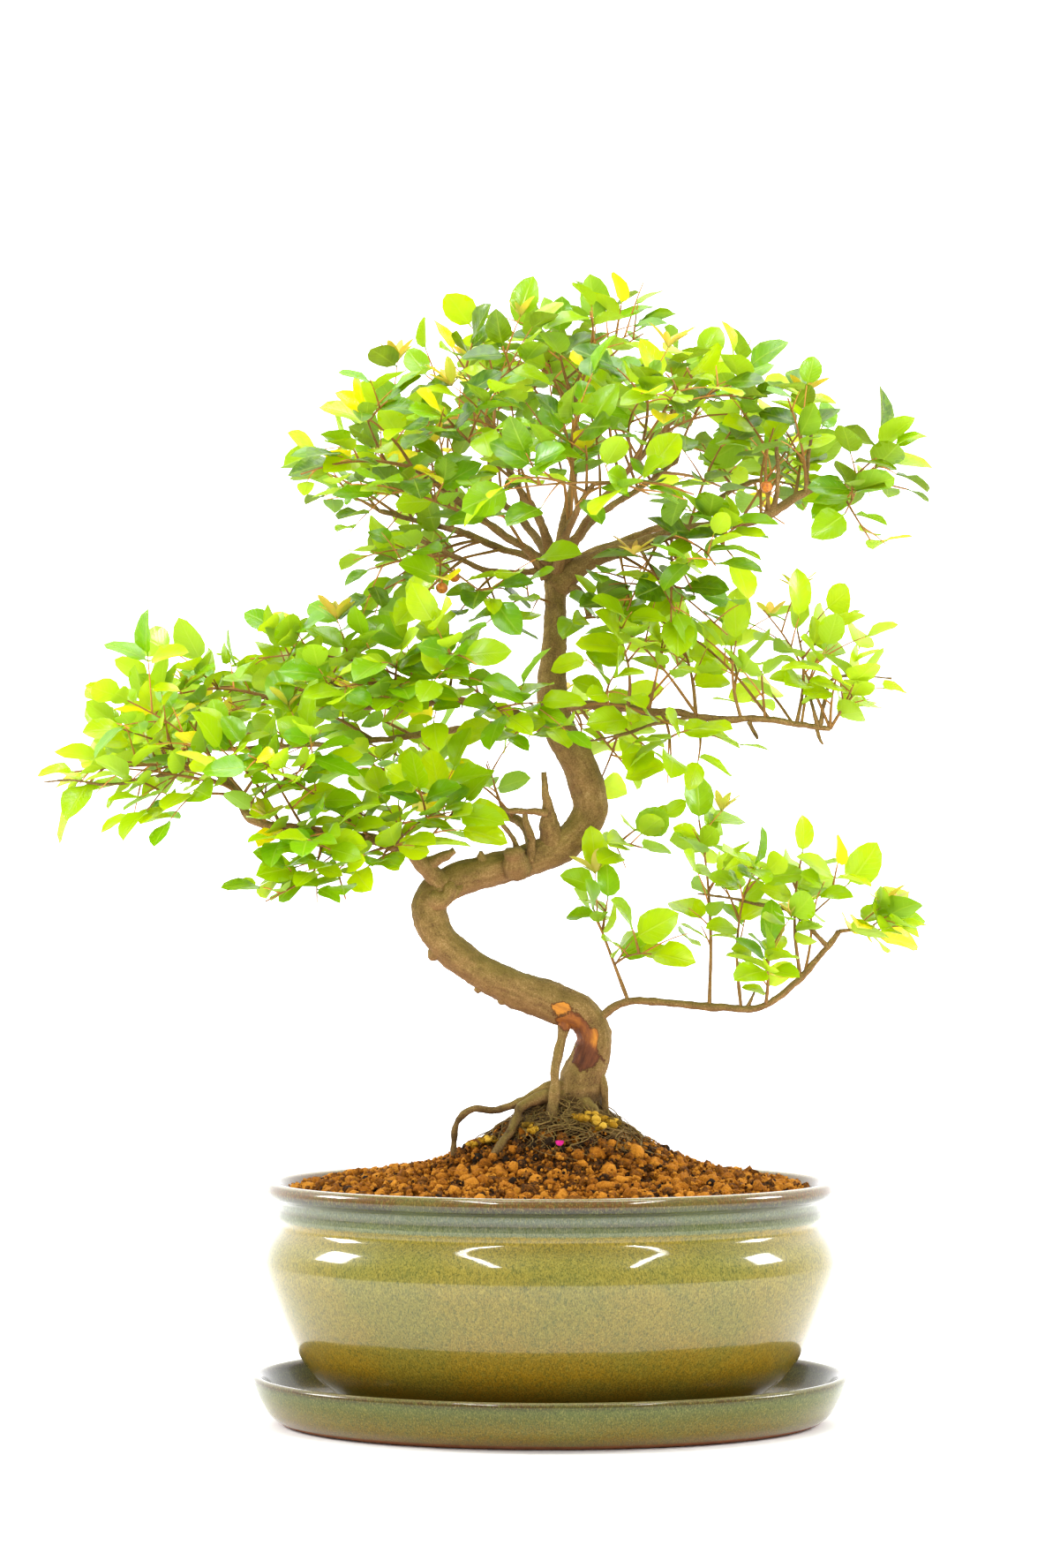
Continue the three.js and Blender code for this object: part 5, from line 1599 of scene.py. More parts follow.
@dataclass(frozen=True)
class BarkFinish:
    """Smooth tan bark: fine grained, olive where it faces up, orange where it has peeled."""

    name: str = "bark"

    def material(self) -> Material:
        """Builds the bark.

        The mesh holds how fresh a twig is, how far a place has peeled and to which tone, how
        much soil stains it, and a place along and round the wood for the grain. Noise moves
        each edge.

        Returns:
            The material.
        """
        shader = Shader(self.name)
        place = shader.object_place()
        flakes = shader.noise(place, 130, 5, 0.62)
        broad = shader.noise(place, 38, 2)
        fine = shader.noise(place, 1500, 3, 0.7)
        grain = shader.noise(shader.vector_of("grain"), 0.55, 4, 0.65)
        tone = grain * 0.26 + fine * 0.44 + flakes * 0.3
        old = shader.ramp(tone, [(0.38, (78, 58, 30)), (0.46, (112, 87, 46)),
                                 (0.55, (138, 109, 62)), (0.63, (165, 136, 87))])
        up = shader.part(shader.wire("ShaderNodeNewGeometry", output="Normal"), "Z")
        moss = shader.span(up, -0.2, 0.8) * shader.span(broad, 0.3, 0.62)
        old = shader.mix(moss * 0.6, old, linear(112, 100, 40))
        old = shader.mix(shader.span(up, 0.1, -0.9) * 0.4, old, linear(136, 90, 58))
        edge = shader.value_of("peel") + (flakes - 0.5) * 1.5
        peel = shader.span(edge, 0.5, 0.53)
        shade = shader.value_of("peel_tone") + grain - 0.5
        bared = shader.ramp(shade, [(0.0, (70, 36, 18)), (0.35, (114, 64, 34)),
                                    (0.65, (152, 90, 36)), (1.0, (204, 134, 44))])
        old = shader.mix(peel, old, bared)
        rim = shader.span(edge, 0.42, 0.5) * shader.span(edge, 0.62, 0.52)
        old = shader.mix(rim * 0.75, old, linear(72, 36, 14))
        fresh = shader.value_of("fresh")
        young = shader.mix(shader.span(fresh, 0.5, 1.0), linear(150, 104, 48), linear(196, 132, 58))
        colour = shader.mix(shader.span(fresh, 0.05, 0.6), old, young)
        stain = shader.value_of("stain") + (flakes - 0.5) * 1.6
        soiled = shader.mix(fine, linear(30, 20, 6), linear(78, 54, 20))
        colour = shader.mix(shader.span(stain, 0.3, 0.8) * 0.85, colour, soiled)
        normal = shader.bump(tone - peel * 0.35, 0.7, 0.001)
        return shader.finish(Base_Color=colour, Roughness=0.8 - peel * 0.25,
                             Specular_IOR_Level=0.22, Normal=normal)


@dataclass(frozen=True)
class LeafFinish:
    """A thin glossy leaf that light shines through, with a midrib and side veins."""

    name: str = "leaf"
    through: float = 0.5

    def material(self) -> Material:
        """Builds the leaf.

        The mesh holds the place on the blade: x runs from foot to tip and y across from -1
        to 1. The midrib is where y is near 0, and a side vein is where 8 times x less 2.4
        times the size of y is near a whole number.

        Returns:
            The material.
        """
        shader = Shader(self.name)
        place = shader.vector_of("blade")
        along, across = shader.part(place, "X"), shader.part(place, "Y")
        aside = shader.step("ABSOLUTE", across)
        rank = shader.step("PINGPONG", along * 8 - aside * 2.4, 0.5)
        side_veins = shader.span(rank, 0.09, 0.02) * 0.5
        veins = shader.step("MAXIMUM", shader.span(aside, 0.08, 0.03), side_veins)
        mottle = shader.noise(shader.object_place(), 300, 2)
        blade = shader.mix(shader.span(mottle, 0.35, 0.7) * 0.25, shader.vector_of("tint"),
                           linear(150, 200, 16))
        blade = shader.mix(veins * 0.3, blade, linear(210, 228, 90))
        under = shader.value_of("under")
        normal = shader.bump(mottle * 0.3 - veins, 0.4, 0.0004)
        surface = shader.node("ShaderNodeBsdfPrincipled", {
            "Base Color": shader.mix(under * 0.35, blade, linear(170, 204, 70)),
            "Roughness": under * 0.34 + 0.24, "Normal": normal, "IOR": 1.42,
            "Specular IOR Level": 0.75,
        })
        glow = shader.mix(0.5, blade, linear(250, 248, 30))
        back = shader.node("ShaderNodeBsdfTranslucent", {"Color": glow, "Normal": normal})
        return shader.close(shader.node("ShaderNodeMixShader", {
            0: self.through, 1: surface.outputs[0], 2: back.outputs[0],
        }))


@dataclass(frozen=True)
class GrainFinish:
    """Dry granules: each has its own tone, and a rough pitted surface."""

    name: str
    dark: Triple
    middle: Triple
    light: Triple

    def material(self) -> Material:
        """Builds the granules from the tone that the mesh holds.

        Returns:
            The material.
        """
        shader = Shader(self.name)
        pits = shader.noise(shader.object_place(), 800, 4, 0.75)
        tone = shader.value_of("tone") + (pits - 0.5) * 1.3
        colour = shader.ramp(tone, [(0.0, self.dark), (0.5, self.middle), (1.0, self.light)])
        return shader.finish(Base_Color=colour, Roughness=0.9, Specular_IOR_Level=0.15,
                             Normal=shader.bump(pits, 1.0, 0.0015))


@dataclass(frozen=True)
class FruitFinish:
    """Ripe orange-brown skin with darker freckles."""

    name: str = "fruit_skin"

    def material(self) -> Material:
        """Builds the skin.

        Returns:
            The material.
        """
        shader = Shader(self.name)
        freckles = shader.noise(shader.object_place(), 700, 3, 0.6)
        colour = shader.ramp(freckles, [(0.3, (150, 78, 24)), (0.55, (208, 118, 32)),
                                        (0.75, (232, 152, 56))])
        return shader.finish(Base_Color=colour, Roughness=0.42,
                             Normal=shader.bump(freckles, 0.4, 0.0006))


@dataclass(frozen=True)
class FloorFinish:
    """A matt white table."""

    name: str = "table_white"

    def material(self) -> Material:
        """Builds the table's surface."""
        shader = Shader(self.name)
        return shader.finish(Base_Color=(0.93, 0.93, 0.92, 1.0), Roughness=0.7)


# Sub-assemblies


def carry(piece: Piece, slot: str, material: Material, *nodes: str) -> Piece:
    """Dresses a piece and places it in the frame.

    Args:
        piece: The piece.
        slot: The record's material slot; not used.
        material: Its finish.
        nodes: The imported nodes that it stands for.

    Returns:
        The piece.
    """
    piece.data.materials.append(material)
    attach(piece, "root")
    if nodes:
        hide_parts(*nodes)
    LOG.info("%s: %d faces", piece.name, len(piece.data.polygons))
    return piece


def smooth_profile(points: Sequence[Pair], step: float) -> Vec:
    """A profile with rounded corners: the spline through its points, about a step apart.

    Args:
        points: Pairs of half length and height.
        step: Distance between the new points.

    Returns:
        Rows of half length and height.
    """
    line = Line([(half, 0, z, 1) for half, z in points])
    count = max(2, round(line.length() / step))
    dense = line.points(np.linspace(0, 1, count * 4))[:, [0, 2]]
    run = runs(dense)
    wanted = np.linspace(0, run[-1], count)
    return columns(*(np.interp(wanted, run, values) for values in dense.T))


def oval_surface(profile: Vec, inset: float, sides: int) -> Surface:
    """A closed oval body from a profile of half length and height.

    A ring's point is the half length times the cosine of its turn, and the half length less
    the inset times the sine. A point on the axis closes the first and the last ring.

    Args:
        profile: Rows of half length and height, from the axis below to the axis above.
        inset: Half length less half depth.
        sides: Points in each ring.

    Returns:
        The points and the faces.
    """
    turn = turns(sides)
    half, z = profile[:, :1], profile[:, 1:]
    x = half * np.cos(turn)
    y = (half - inset) * np.sin(turn)
    rings = columns(x, y, np.broadcast_to(z, x.shape))
    return close_rings(rings, np.array([0, 0, profile[0, 1]]), np.array([0, 0, profile[-1, 1]]))


@dataclass
class OvalPot:
    """The glazed oval pot with its lip, neck band, shoulder, feet and drain holes."""

    inset: float = 33.0
    sides: int = 192
    step: float = 1.3
    outside: tuple[Pair, ...] = (
        (84, 10.5), (89, 10.6), (97, 16), (103.4, 21), (108.6, 28), (112.8, 36), (116.8, 44),
        (121.4, 55), (124.5, 63.5), (125.3, 69.5), (124.5, 75.5), (122.4, 80.4), (119.5, 84.4),
        (118.4, 86.6), (118.6, 88.4), (119.7, 89.6), (120, 91), (119.5, 94.4), (120.1, 96.2),
        (119.8, 97.4), (121.4, 98.6), (123.7, 99.8), (124.4, 102.2), (123.8, 104.8), (121.8, 106),
        (119.3, 105.2), (117.6, 102),
    )
    inside: tuple[Pair, ...] = (
        (116, 94), (115, 84), (118, 68), (113, 46), (99, 26), (84, 17.5),
    )
    feet: Pair = (58, 32)
    drain_at: float = 34
    drain_radius: float = 6
    glaze: GlazeFinish = GlazeFinish("pot_glaze", 107, (
        (6, (80, 52, 10)), (16, (108, 79, 12)), (30, (132, 101, 18)), (50, (122, 106, 34)),
        (64, (122, 107, 36)), (80, (124, 113, 34)), (89.1, (134, 112, 24)),
        (89.9, (92, 98, 60)), (92.6, (90, 96, 72)), (94.2, (60, 56, 36)), (96, (90, 98, 78)),
        # The near-black stop at 98.7 mm is painted shadow on the underside of the lip's overhang.
        (97.8, (72, 76, 54)), (98.7, (18, 18, 4)), (101, (34, 26, 4)), (102.6, (86, 52, 6)),
        (105, (88, 57, 12)), (105.9, (150, 134, 100)),
    ), 7.0, 1.46)

    def build(self) -> Piece:
        """Builds the body, adds the feet and cuts the drain holes.

        Returns:
            The pot.
        """
        profile = smooth_profile(self.outside + self.inside, self.step)
        sheaf = Sheaf()
        sheaf.add(*oval_surface(profile, self.inset, self.sides))
        for x in (-self.feet[0], self.feet[0]):
            for y in (-self.feet[1], self.feet[1]):
                sheaf.add(*self.foot(x, y))
        pot = sheaf.mesh("glazed_pot")
        for x in (-self.drain_at, self.drain_at):
            self.cut_drain(pot, x)
        return pot

    def foot(self, x: float, y: float) -> Surface:
        """A low round foot with a rounded lower edge.

        Args:
            x: Its place along the pot.
            y: Its place across it.

        Returns:
            The points and the faces.
        """
        line = Line([(x, y, 6.4, 7.2), (x, y, 7.4, 8.2), (x, y, 9, 8.7), (x, y, 12.5, 9)])
        shares = np.linspace(0, 1, 9)
        return tube(line.points(shares), 32, line.radius(shares)[:, None])

    def cut_drain(self, pot: Piece, x: float) -> None:
        """Cuts a round hole through the floor.

        Args:
            pot: The pot.
            x: The hole's place along it.
        """
        bpy.ops.mesh.primitive_cylinder_add(vertices=48, radius=self.drain_radius * MM,
                                            depth=0.02, location=(x * MM, 0, 0.014))
        tool = bpy.context.object
        cut = pot.modifiers.new("drain", "BOOLEAN")
        cut.operation, cut.object, cut.solver = "DIFFERENCE", tool, "EXACT"
        bpy.context.view_layer.objects.active = pot
        bpy.ops.object.modifier_apply(modifier=cut.name)
        bpy.data.objects.remove(tool)

    def dress(self, pot: Piece) -> None:
        """Glazes the pot."""
        carry(pot, "glaze", self.glaze.material(), "pot")


@dataclass
class DripTray:
    """The low glazed tray, bare of glaze at its foot."""

    inset: float = 36.0
    sides: int = 192
    step: float = 1.0
    outside: tuple[Pair, ...] = (
        (112, 0), (114.5, 0), (118.5, 1.2), (121.6, 3.4), (124.6, 6.6), (128, 12.5),
        (129.9, 17.6), (130.4, 19.8), (129.6, 21.4), (128, 21.6),
    )
    inside: tuple[Pair, ...] = (
        (126.4, 20.6), (125.1, 18.6), (121, 11), (117, 7.4), (112, 6),
    )
    glaze: GlazeFinish = GlazeFinish("tray_glaze", 22, (
        (0, (88, 58, 8)), (3, (110, 80, 5)), (8, (104, 85, 5)), (13, (88, 81, 10)),
        (17.6, (82, 86, 36)), (19, (68, 66, 28)), (20.2, (62, 38, 11)), (21.2, (96, 83, 46)),
        (22, (124, 118, 86)),
    ), 2.2, 1.34)

    def build(self) -> Piece:
        """Builds the tray."""
        profile = np.maximum(smooth_profile(self.outside + self.inside, self.step), [0, 0])
        return one_piece("glazed_tray", *oval_surface(profile, self.inset, self.sides))

    def dress(self, tray: Piece) -> None:
        """Glazes the tray."""
        carry(tray, "glaze", self.glaze.material(), "drip_tray")


@dataclass
class SoilMound:
    """The filling of the pot: a bed under loose granules, heaped and dark at the trunk."""

    half: float = 116.2
    depth: float = 83.2
    inset: float = 33.0
    bed_profile: tuple[Pair, ...] = ((84.3, 18.3), (98, 27), (111.5, 46), (116, 68), (113.6, 84))
    edge: float = 102.0
    crown: float = 7.0
    mound: float = 30.0
    mound_at: float = 6.0
    reach: Pair = (43.0, 34.0)
    grain_step: float = 4.6
    grain_radius: Pair = (1.5, 3.5)
    grain_lift: float = -1.2
    crumb_step: float = 3.1
    crumb_radius: Pair = (0.5, 1.3)
    crumb_lift: float = 0.6
    row_step: float = 0.86
    stray: float = 0.45
    uneven: float = 1.1
    size_power: float = 1.6
    stretch: float = 0.3
    dent: float = 0.34
    rim_share: float = 0.995
    bed_sides: int = 96
    bed_rings: int = 40
    bed_below: float = 2.0
    bed_noise: float = 1.3
    damp_at: float = 8.0
    damp_reach: Pair = (34.0, 30.0)
    damp_shrink: float = 0.35

    def height(self, x: Vec, y: Vec) -> Vec:
        """The height of the soil: a flat dome to the fourth power and a round mound.

        Args:
            x: Places along the pot.
            y: Places across it.

        Returns:
            One height for each place.
        """
        share = np.sqrt((x / self.half) ** 2 + (y / self.depth) ** 2)
        dome = self.crown * (1 - np.minimum(share, 1) ** 4)
        away = ((x - self.mound_at) / self.reach[0]) ** 2 + (y / self.reach[1]) ** 2
        return self.edge + dome + self.mound * np.exp(-away)

    def damp(self, x: Vec, y: Vec) -> Vec:
        """How dark and damp the soil is: 1 at the trunk and 0 far from it."""
        return np.exp(-(((x - self.damp_at) / self.damp_reach[0]) ** 2)
                      - (y / self.damp_reach[1]) ** 2)

    def build(self) -> list[Piece]:
        """Builds the bed, the granules and the crumbs between them.

        Returns:
            The three pieces.
        """
        granules = self.loose("soil_granules", self.grain_step, self.grain_radius, 11,
                              self.grain_lift, rough_ball())
        crumbs = self.loose("soil_crumbs", self.crumb_step, self.crumb_radius, 111,
                            self.crumb_lift, rough_cube())
        return [self.bed(), granules, crumbs]

    def bed(self) -> Piece:
        """A solid body whose top follows the height, a grain lower, with fine noise. Its low tone
        paints shade into the gaps between the granules.

        Returns:
            The bed.
        """
        turn = turns(self.bed_sides)
        share = np.linspace(1, 0.02, self.bed_rings)[:, None]
        x, y = self.half * share * np.cos(turn), self.depth * share * np.sin(turn)
        top = columns(x, y, self.height(x, y) - self.bed_below)
        top[..., 2] += self.bed_noise * noise(top * [1, 1, 0], 0.3, 5, 2)
        low = [columns(half * np.cos(turn), (half - self.inset) * np.sin(turn),
                       np.full(self.bed_sides, z)) for half, z in self.bed_profile]
        rings = np.concatenate([np.array(low), top])
        floor = np.array([0, 0, self.bed_profile[0][1]])
        points, faces = close_rings(rings, floor, top[-1].mean(0))
        # Painted shade: the bed's tone stays low, so the gaps between the granules read dark; damp
        # darkens it further at the trunk.
        tone = 0.12 + 0.2 * noise(points, 0.5, 8, 2) - 0.15 * self.damp(points[:, 0], points[:, 1])
        return one_piece("soil_bed", points, faces, {"tone": tone})

    def loose(self, name: str, step: float, radius: Pair, seed: int, lift: float,
              shape: tuple[Vec, Vec]) -> Piece:
        """Loose grains in rows like bricks, each moved, turned, stretched and dented at random.

        A grain's point is its middle plus its size times a direction, stretched by a draw on
        each axis and moved by noise.

        Args:
            name: The piece's name.
            step: Distance between grains.
            radius: Smallest and largest size.
            seed: A number that names the draws.
            lift: Height of the middles over the soil.
            shape: Points and faces of one grain.

        Returns:
            One piece of all grains.
        """
        reach = int(self.half / step * 1.2) + 1
        column, row = np.meshgrid(np.arange(-reach, reach + 1), np.arange(-reach, reach + 1),
                                  indexing="ij")
        cells = columns(column, row, np.zeros_like(row)).reshape(-1, 3)
        stray = self.stray * step
        x = (cells[:, 0] + 0.5 * (cells[:, 1] % 2)) * step + stray * lattice(cells, seed)
        y = cells[:, 1] * step * self.row_step + stray * lattice(cells, seed + 1)
        size = mix(*radius, (0.5 + 0.5 * lattice(cells, seed + 2)) ** self.size_power)
        far = np.sqrt(((np.abs(x) + size) / self.half) ** 2 + ((np.abs(y) + size) / self.depth) ** 2)
        size = size * (1 - self.damp_shrink * self.damp(x, y))
        keep = far < self.rim_share
        x, y, size, cells = x[keep], y[keep], size[keep], cells[keep]
        z = self.height(x, y) + lift + self.uneven * lattice(cells, seed + 3)
        centre = columns(x, y, z)
        ball, quads = shape
        draws = lambda first: columns(*(lattice(cells, seed + first + i) for i in range(3)))
        turned = turn_points(ball * (1 + self.stretch * draws(10))[:, None], draws(20))
        dents = noise(turned * 1.5 + centre[:, None] * 3.1, 1.0, seed + 31, 2)
        turned = turned * size[:, None, None] * (1 + self.dent * dents[..., None])
        faces = quads[None] + (np.arange(len(centre)) * len(ball))[:, None, None]
        damp = self.damp(x, y)
        tone = 0.56 + 0.42 * lattice(cells, seed + 4) - 0.34 * damp
        tone = np.where(lattice(cells, seed + 5) > 0.78 - 0.8 * damp, tone - 0.5, tone)
        tones = {"tone": np.repeat(tone, len(ball))}
        return one_piece(name, centre[:, None] + turned, [faces.reshape(-1, 4)], tones)

    def dress(self, pieces: list[Piece]) -> None:
        """Colours the bed, the granules and the crumbs.

        Args:
            pieces: The three pieces.
        """
        finish = GrainFinish("baked_clay", (34, 20, 5), (158, 94, 16), (208, 138, 42))
        material = finish.material()
        carry(pieces[0], "soil", material, "soil")
        for piece in pieces[1:]:
            carry(piece, "soil", material)


def rough_cube() -> tuple[Vec, Vec]:
    """A cube with its corners at distance one: 8 points and 6 faces.

    Returns:
        The points and the faces.
    """
    points = np.array([[x, y, z] for x in (-1, 1) for y in (-1, 1) for z in (-1, 1)], float)
    quads = np.array([[0, 1, 3, 2], [4, 6, 7, 5], [0, 4, 5, 1], [2, 3, 7, 6], [0, 2, 6, 4],
                      [1, 5, 7, 3]])
    return units(points), quads


def rough_ball() -> tuple[Vec, Vec]:
    """A cube of 2 by 2 faces a side, drawn out to a ball: 26 points and 24 faces.

    Returns:
        The points and the faces.
    """
    bpy.ops.mesh.primitive_cube_add(size=2)
    cube = bpy.context.object
    bpy.ops.object.mode_set(mode="EDIT")
    bpy.ops.mesh.subdivide(number_cuts=1)
    bpy.ops.object.mode_set(mode="OBJECT")
    points = np.array([vertex.co for vertex in cube.data.vertices])
    quads = np.array([polygon.vertices for polygon in cube.data.polygons])
    bpy.data.objects.remove(cube)
    return units(points), quads


def turn_points(points: Vec, picks: Vec) -> Vec:
    """Turns each group of points about z, x and z again by picks times pi.

    Args:
        points: Points by group.
        picks: Three numbers for each group.

    Returns:
        The turned points by group.
    """
    points = points.copy()
    for angle, first in zip(picks.T * np.pi, (0, 1, 0)):
        cos, sin = np.cos(angle)[:, None], np.sin(angle)[:, None]
        one, other = points[..., first], points[..., first + 1]
        turned = cos * one - sin * other, sin * one + cos * other
        points[..., first], points[..., first + 1] = turned
    return points


@dataclass
class TreeWood:
    """The trunk, its surface roots, its limbs, and its healed cuts and bare twigs."""

    trunk_sides: int = 72
    trunk_rings: int = 400
    knob_steps: int = 38
    knob_share: float = 0.035
    collar: float = 0.55
    crook: float = 0.7
    stub_collar: float = 0.12
    knobs: tuple[int, ...] = (0, 4)
    grain_stretch: float = 0.22
    peels: tuple[tuple[float, float, float, float, float], ...] = (
        (4.5, 181.5, 5.0, 4.5, 0.9), (9.0, 176.0, 6.5, 5.0, 0.5), (14.5, 170.5, 6.5, 6.5, 0.4),
        (19.2, 169.0, 2.2, 6.5, 0.85), (16.5, 160.5, 6.5, 7.5, 0.15),
    )

    def build(self) -> Piece:
        """Builds all wood as one piece of closed tubes that grow out of each other.

        Returns:
            The wood.
        """
        sheaf = Sheaf()
        self.add_trunk(sheaf)
        for rank, points in enumerate(ROOTS):
            self.add_branch(sheaf, Line(points), 16, 0.7, 0.18, self.collar, 40 + rank)
        for rank, points in enumerate(LIMBS.values()):
            self.add_branch(sheaf, Line(points), 12, 0.9, 0.12, self.collar, 60 + rank)
        for rank, points in enumerate(STUBS):
            rough = 0.34 if rank in self.knobs else 0.16
            self.add_branch(sheaf, Line(points), 12, 0.6, rough, self.stub_collar, 90 + rank)
        return sheaf.mesh("tree_trunk_and_limbs")

    def add_trunk(self, sheaf: Sheaf) -> None:
        """Adds the trunk.

        Its radius is that of its line times 1 plus a share of sin(2a + 0.9s) + 0.6 sin(3a -
        1.7s), for the turn a and the step s, plus noise in three sizes for knots and flakes.

        Args:
            sheaf: Where it goes.
        """
        line = Line(TRUNK)
        shares = np.linspace(0, 1, self.trunk_rings)
        turn = turns(self.trunk_sides)
        step = shares[:, None] * self.knob_steps
        knob = np.sin(2 * turn + 0.9 * step) + 0.6 * np.sin(3 * turn - 1.7 * step)
        radii = line.radius(shares)[:, None] * (1 + self.knob_share * knob)
        self.add_rough(sheaf, line.points(shares), self.trunk_sides, radii, (0.5, 0.28, 0.12), 3)

    def add_branch(self, sheaf: Sheaf, line: Line, sides: int, step: float, rough: float,
                   collar: float, seed: int) -> None:
        """Adds a root, limb or stub, a little crooked, and wider where it leaves its parent.

        Args:
            sheaf: Where it goes.
            line: Its line.
            sides: Points in each ring.
            step: Distance between rings.
            rough: Height of its swellings over its radius.
            collar: How much wider it is at its start.
            seed: A number that names its noise.
        """
        length = line.length()
        shares = np.linspace(0, 1, max(12, round(length / step)))
        run = shares * length
        centre = line.points(shares)
        root = np.exp(-((run / (3.2 * line.radii[0])) ** 2))
        radius = line.radius(shares) * (1 + collar * root)
        radius = radius * (1 + rough * noise(centre, 0.22, seed, 2))
        sway = columns(*(noise(centre, 0.09, seed + axis, 2) for axis in (200, 300, 400)))
        centre = centre + self.crook * sway * np.sin(np.pi * shares)[:, None]
        self.add_rough(sheaf, centre, sides, radius[:, None], (0.0, 0.2, 0.08), seed + 1)

    def add_rough(self, sheaf: Sheaf, centre: Vec, sides: int, radii: Vec,
                  heights: Triple, seed: int) -> None:
        """Adds a tube with noise in three sizes, and with its peeled and soiled places.

        Args:
            sheaf: Where it goes.
            centre: Middles of its rings.
            sides: Points in each ring.
            radii: Radii by ring and side.
            heights: Height of the broad, middle and fine noise.
            seed: A number that names the noise.
        """
        points, faces = tube(centre, sides, radii)
        body, axis = points[:-2], np.repeat(centre, sides, axis=0)
        rough = sum(height * noise(body, scale, seed + rank, 2) for rank, (height, scale)
                    in enumerate(zip(heights, (0.12, 0.45, 1.6))))
        points[:-2] = body + units(body - axis) * rough[:, None]
        x, z = points[:, 0], points[:, 2]
        shares = np.array([np.exp(-((x - at_x) / wide) ** 2 - ((z - at_z) / tall) ** 2)
                           for at_x, at_z, wide, tall, _ in self.peels])
        tones = np.array([tone for *_, tone in self.peels])
        weight = shares**4 + 1e-9
        stain = np.clip((152 - z) / 14, 0, 1) * (0.95 if sides == self.trunk_sides else 0.6)
        run = runs(centre)
        turn = turns(sides)
        round_it = columns(np.cos(turn), np.sin(turn)) * radii.mean()
        grain = np.concatenate([np.repeat(run * self.grain_stretch, sides)[:, None],
                                np.tile(round_it, (len(centre), 1))], axis=-1)
        grain = np.vstack([grain, grain[:1], grain[-1:]]) + seed * 13.7
        sheaf.add(points, faces, {
            "peel": shares.max(0) * (points[:, 1] < 3),
            "peel_tone": (weight * tones[:, None]).sum(0) / weight.sum(0),
            "stain": stain, "grain": grain,
        })

    def dress(self, wood: Piece, bark: Material) -> None:
        """Gives the wood its bark."""
        carry(wood, "bark", bark, "tree_wood")


BLADE_ROWS = np.array([0.0, 0.08, 0.14, 0.3, 0.5, 0.7, 0.88])
BLADE_WIDTH = np.array([0.05, 0.06, 0.58, 0.98, 1.07, 0.92, 0.56])
BLADE_ACROSS = np.array([-1.0, -0.5, 0.0, 0.5, 1.0])


@dataclass
class LeafShape:
    """The grid that every leaf is made of: seven rows of five points and a tip, on two sides."""

    thickness: float = 0.32
    wave: float = 0.07
    twist: float = 0.9
    stalk: float = 0.1

    def template(self) -> tuple[Vec, Vec, Vec, list[Vec], Vec]:
        """The grid of one leaf.

        Returns:
            Place along, place across, side (1 above, -1 below, 0 on the edge), the faces as
            arrays, and for each face whether it is below.
        """
        rows, cols = len(BLADE_ROWS), len(BLADE_ACROSS)
        along = np.repeat(BLADE_ROWS, cols)
        across = np.tile(BLADE_ACROSS, rows)
        above = np.where(np.abs(across) == 1, 0.0, 1.0)
        inner = np.abs(across) < 1
        tip = len(along)
        under_of = np.arange(tip + 1)
        under_of[:tip][inner] = tip + 1 + np.arange(inner.sum())
        along_all = np.concatenate([along, [1.0], along[inner]])
        across_all = np.concatenate([across, [0.0], across[inner]])
        level = np.concatenate([above, [0.0], -np.ones(inner.sum())])
        top = grid_faces(rows, cols, False)
        last = (rows - 1) * cols
        point = np.array([[last + i, last + i + 1, tip] for i in range(cols - 1)])
        flip = lambda faces: under_of[faces][:, ::-1]
        close = np.array([[0, under_of[1], 1], [3, under_of[3], 4]])
        middle = np.array([[1, under_of[1], under_of[2], 2], [2, under_of[2], under_of[3], 3]])
        faces = [top, flip(top), middle, point, flip(point), close]
        below = np.concatenate([np.zeros(len(top)), np.ones(len(top)), np.ones(2),
                                np.zeros(len(point)), np.ones(len(point)), np.ones(2)])
        return along_all, across_all, level, faces, below


def leaf_tint(leaf: Leaf, pick: Draw, lighter: float) -> Vec:
    """The colour of a leaf: deep to lime green by a draw and painted light, and a few yellow or
    blushed ones.

    Args:
        leaf: The leaf.
        pick: Gives the draw with a number.
        lighter: Painted light and shade of the leaf's mass: how far the range starts towards lime.

    Returns:
        The colour.
    """
    deep, green = np.array(linear(30, 94, 2)), np.array(linear(104, 170, 0))
    lime, yellow = np.array(linear(206, 228, 2)), np.array(linear(254, 232, 10))
    blush = np.array(linear(255, 196, 120))
    # Painted light and shade: the mass's shift moves the tint towards lime where the mass gets more
    # light, and towards deep green where it gets less.
    share = mix(lighter, 1.0, pick(0))
    colour = deep + (green - deep) * min(1, max(0, share) * 2.2)
    if share > 0.5:
        colour = green + (lime - green) * (share - 0.5) / 0.5
    if pick(1) > 0.975:
        colour = yellow
    return colour + (blush - colour) * leaf.young * 0.9


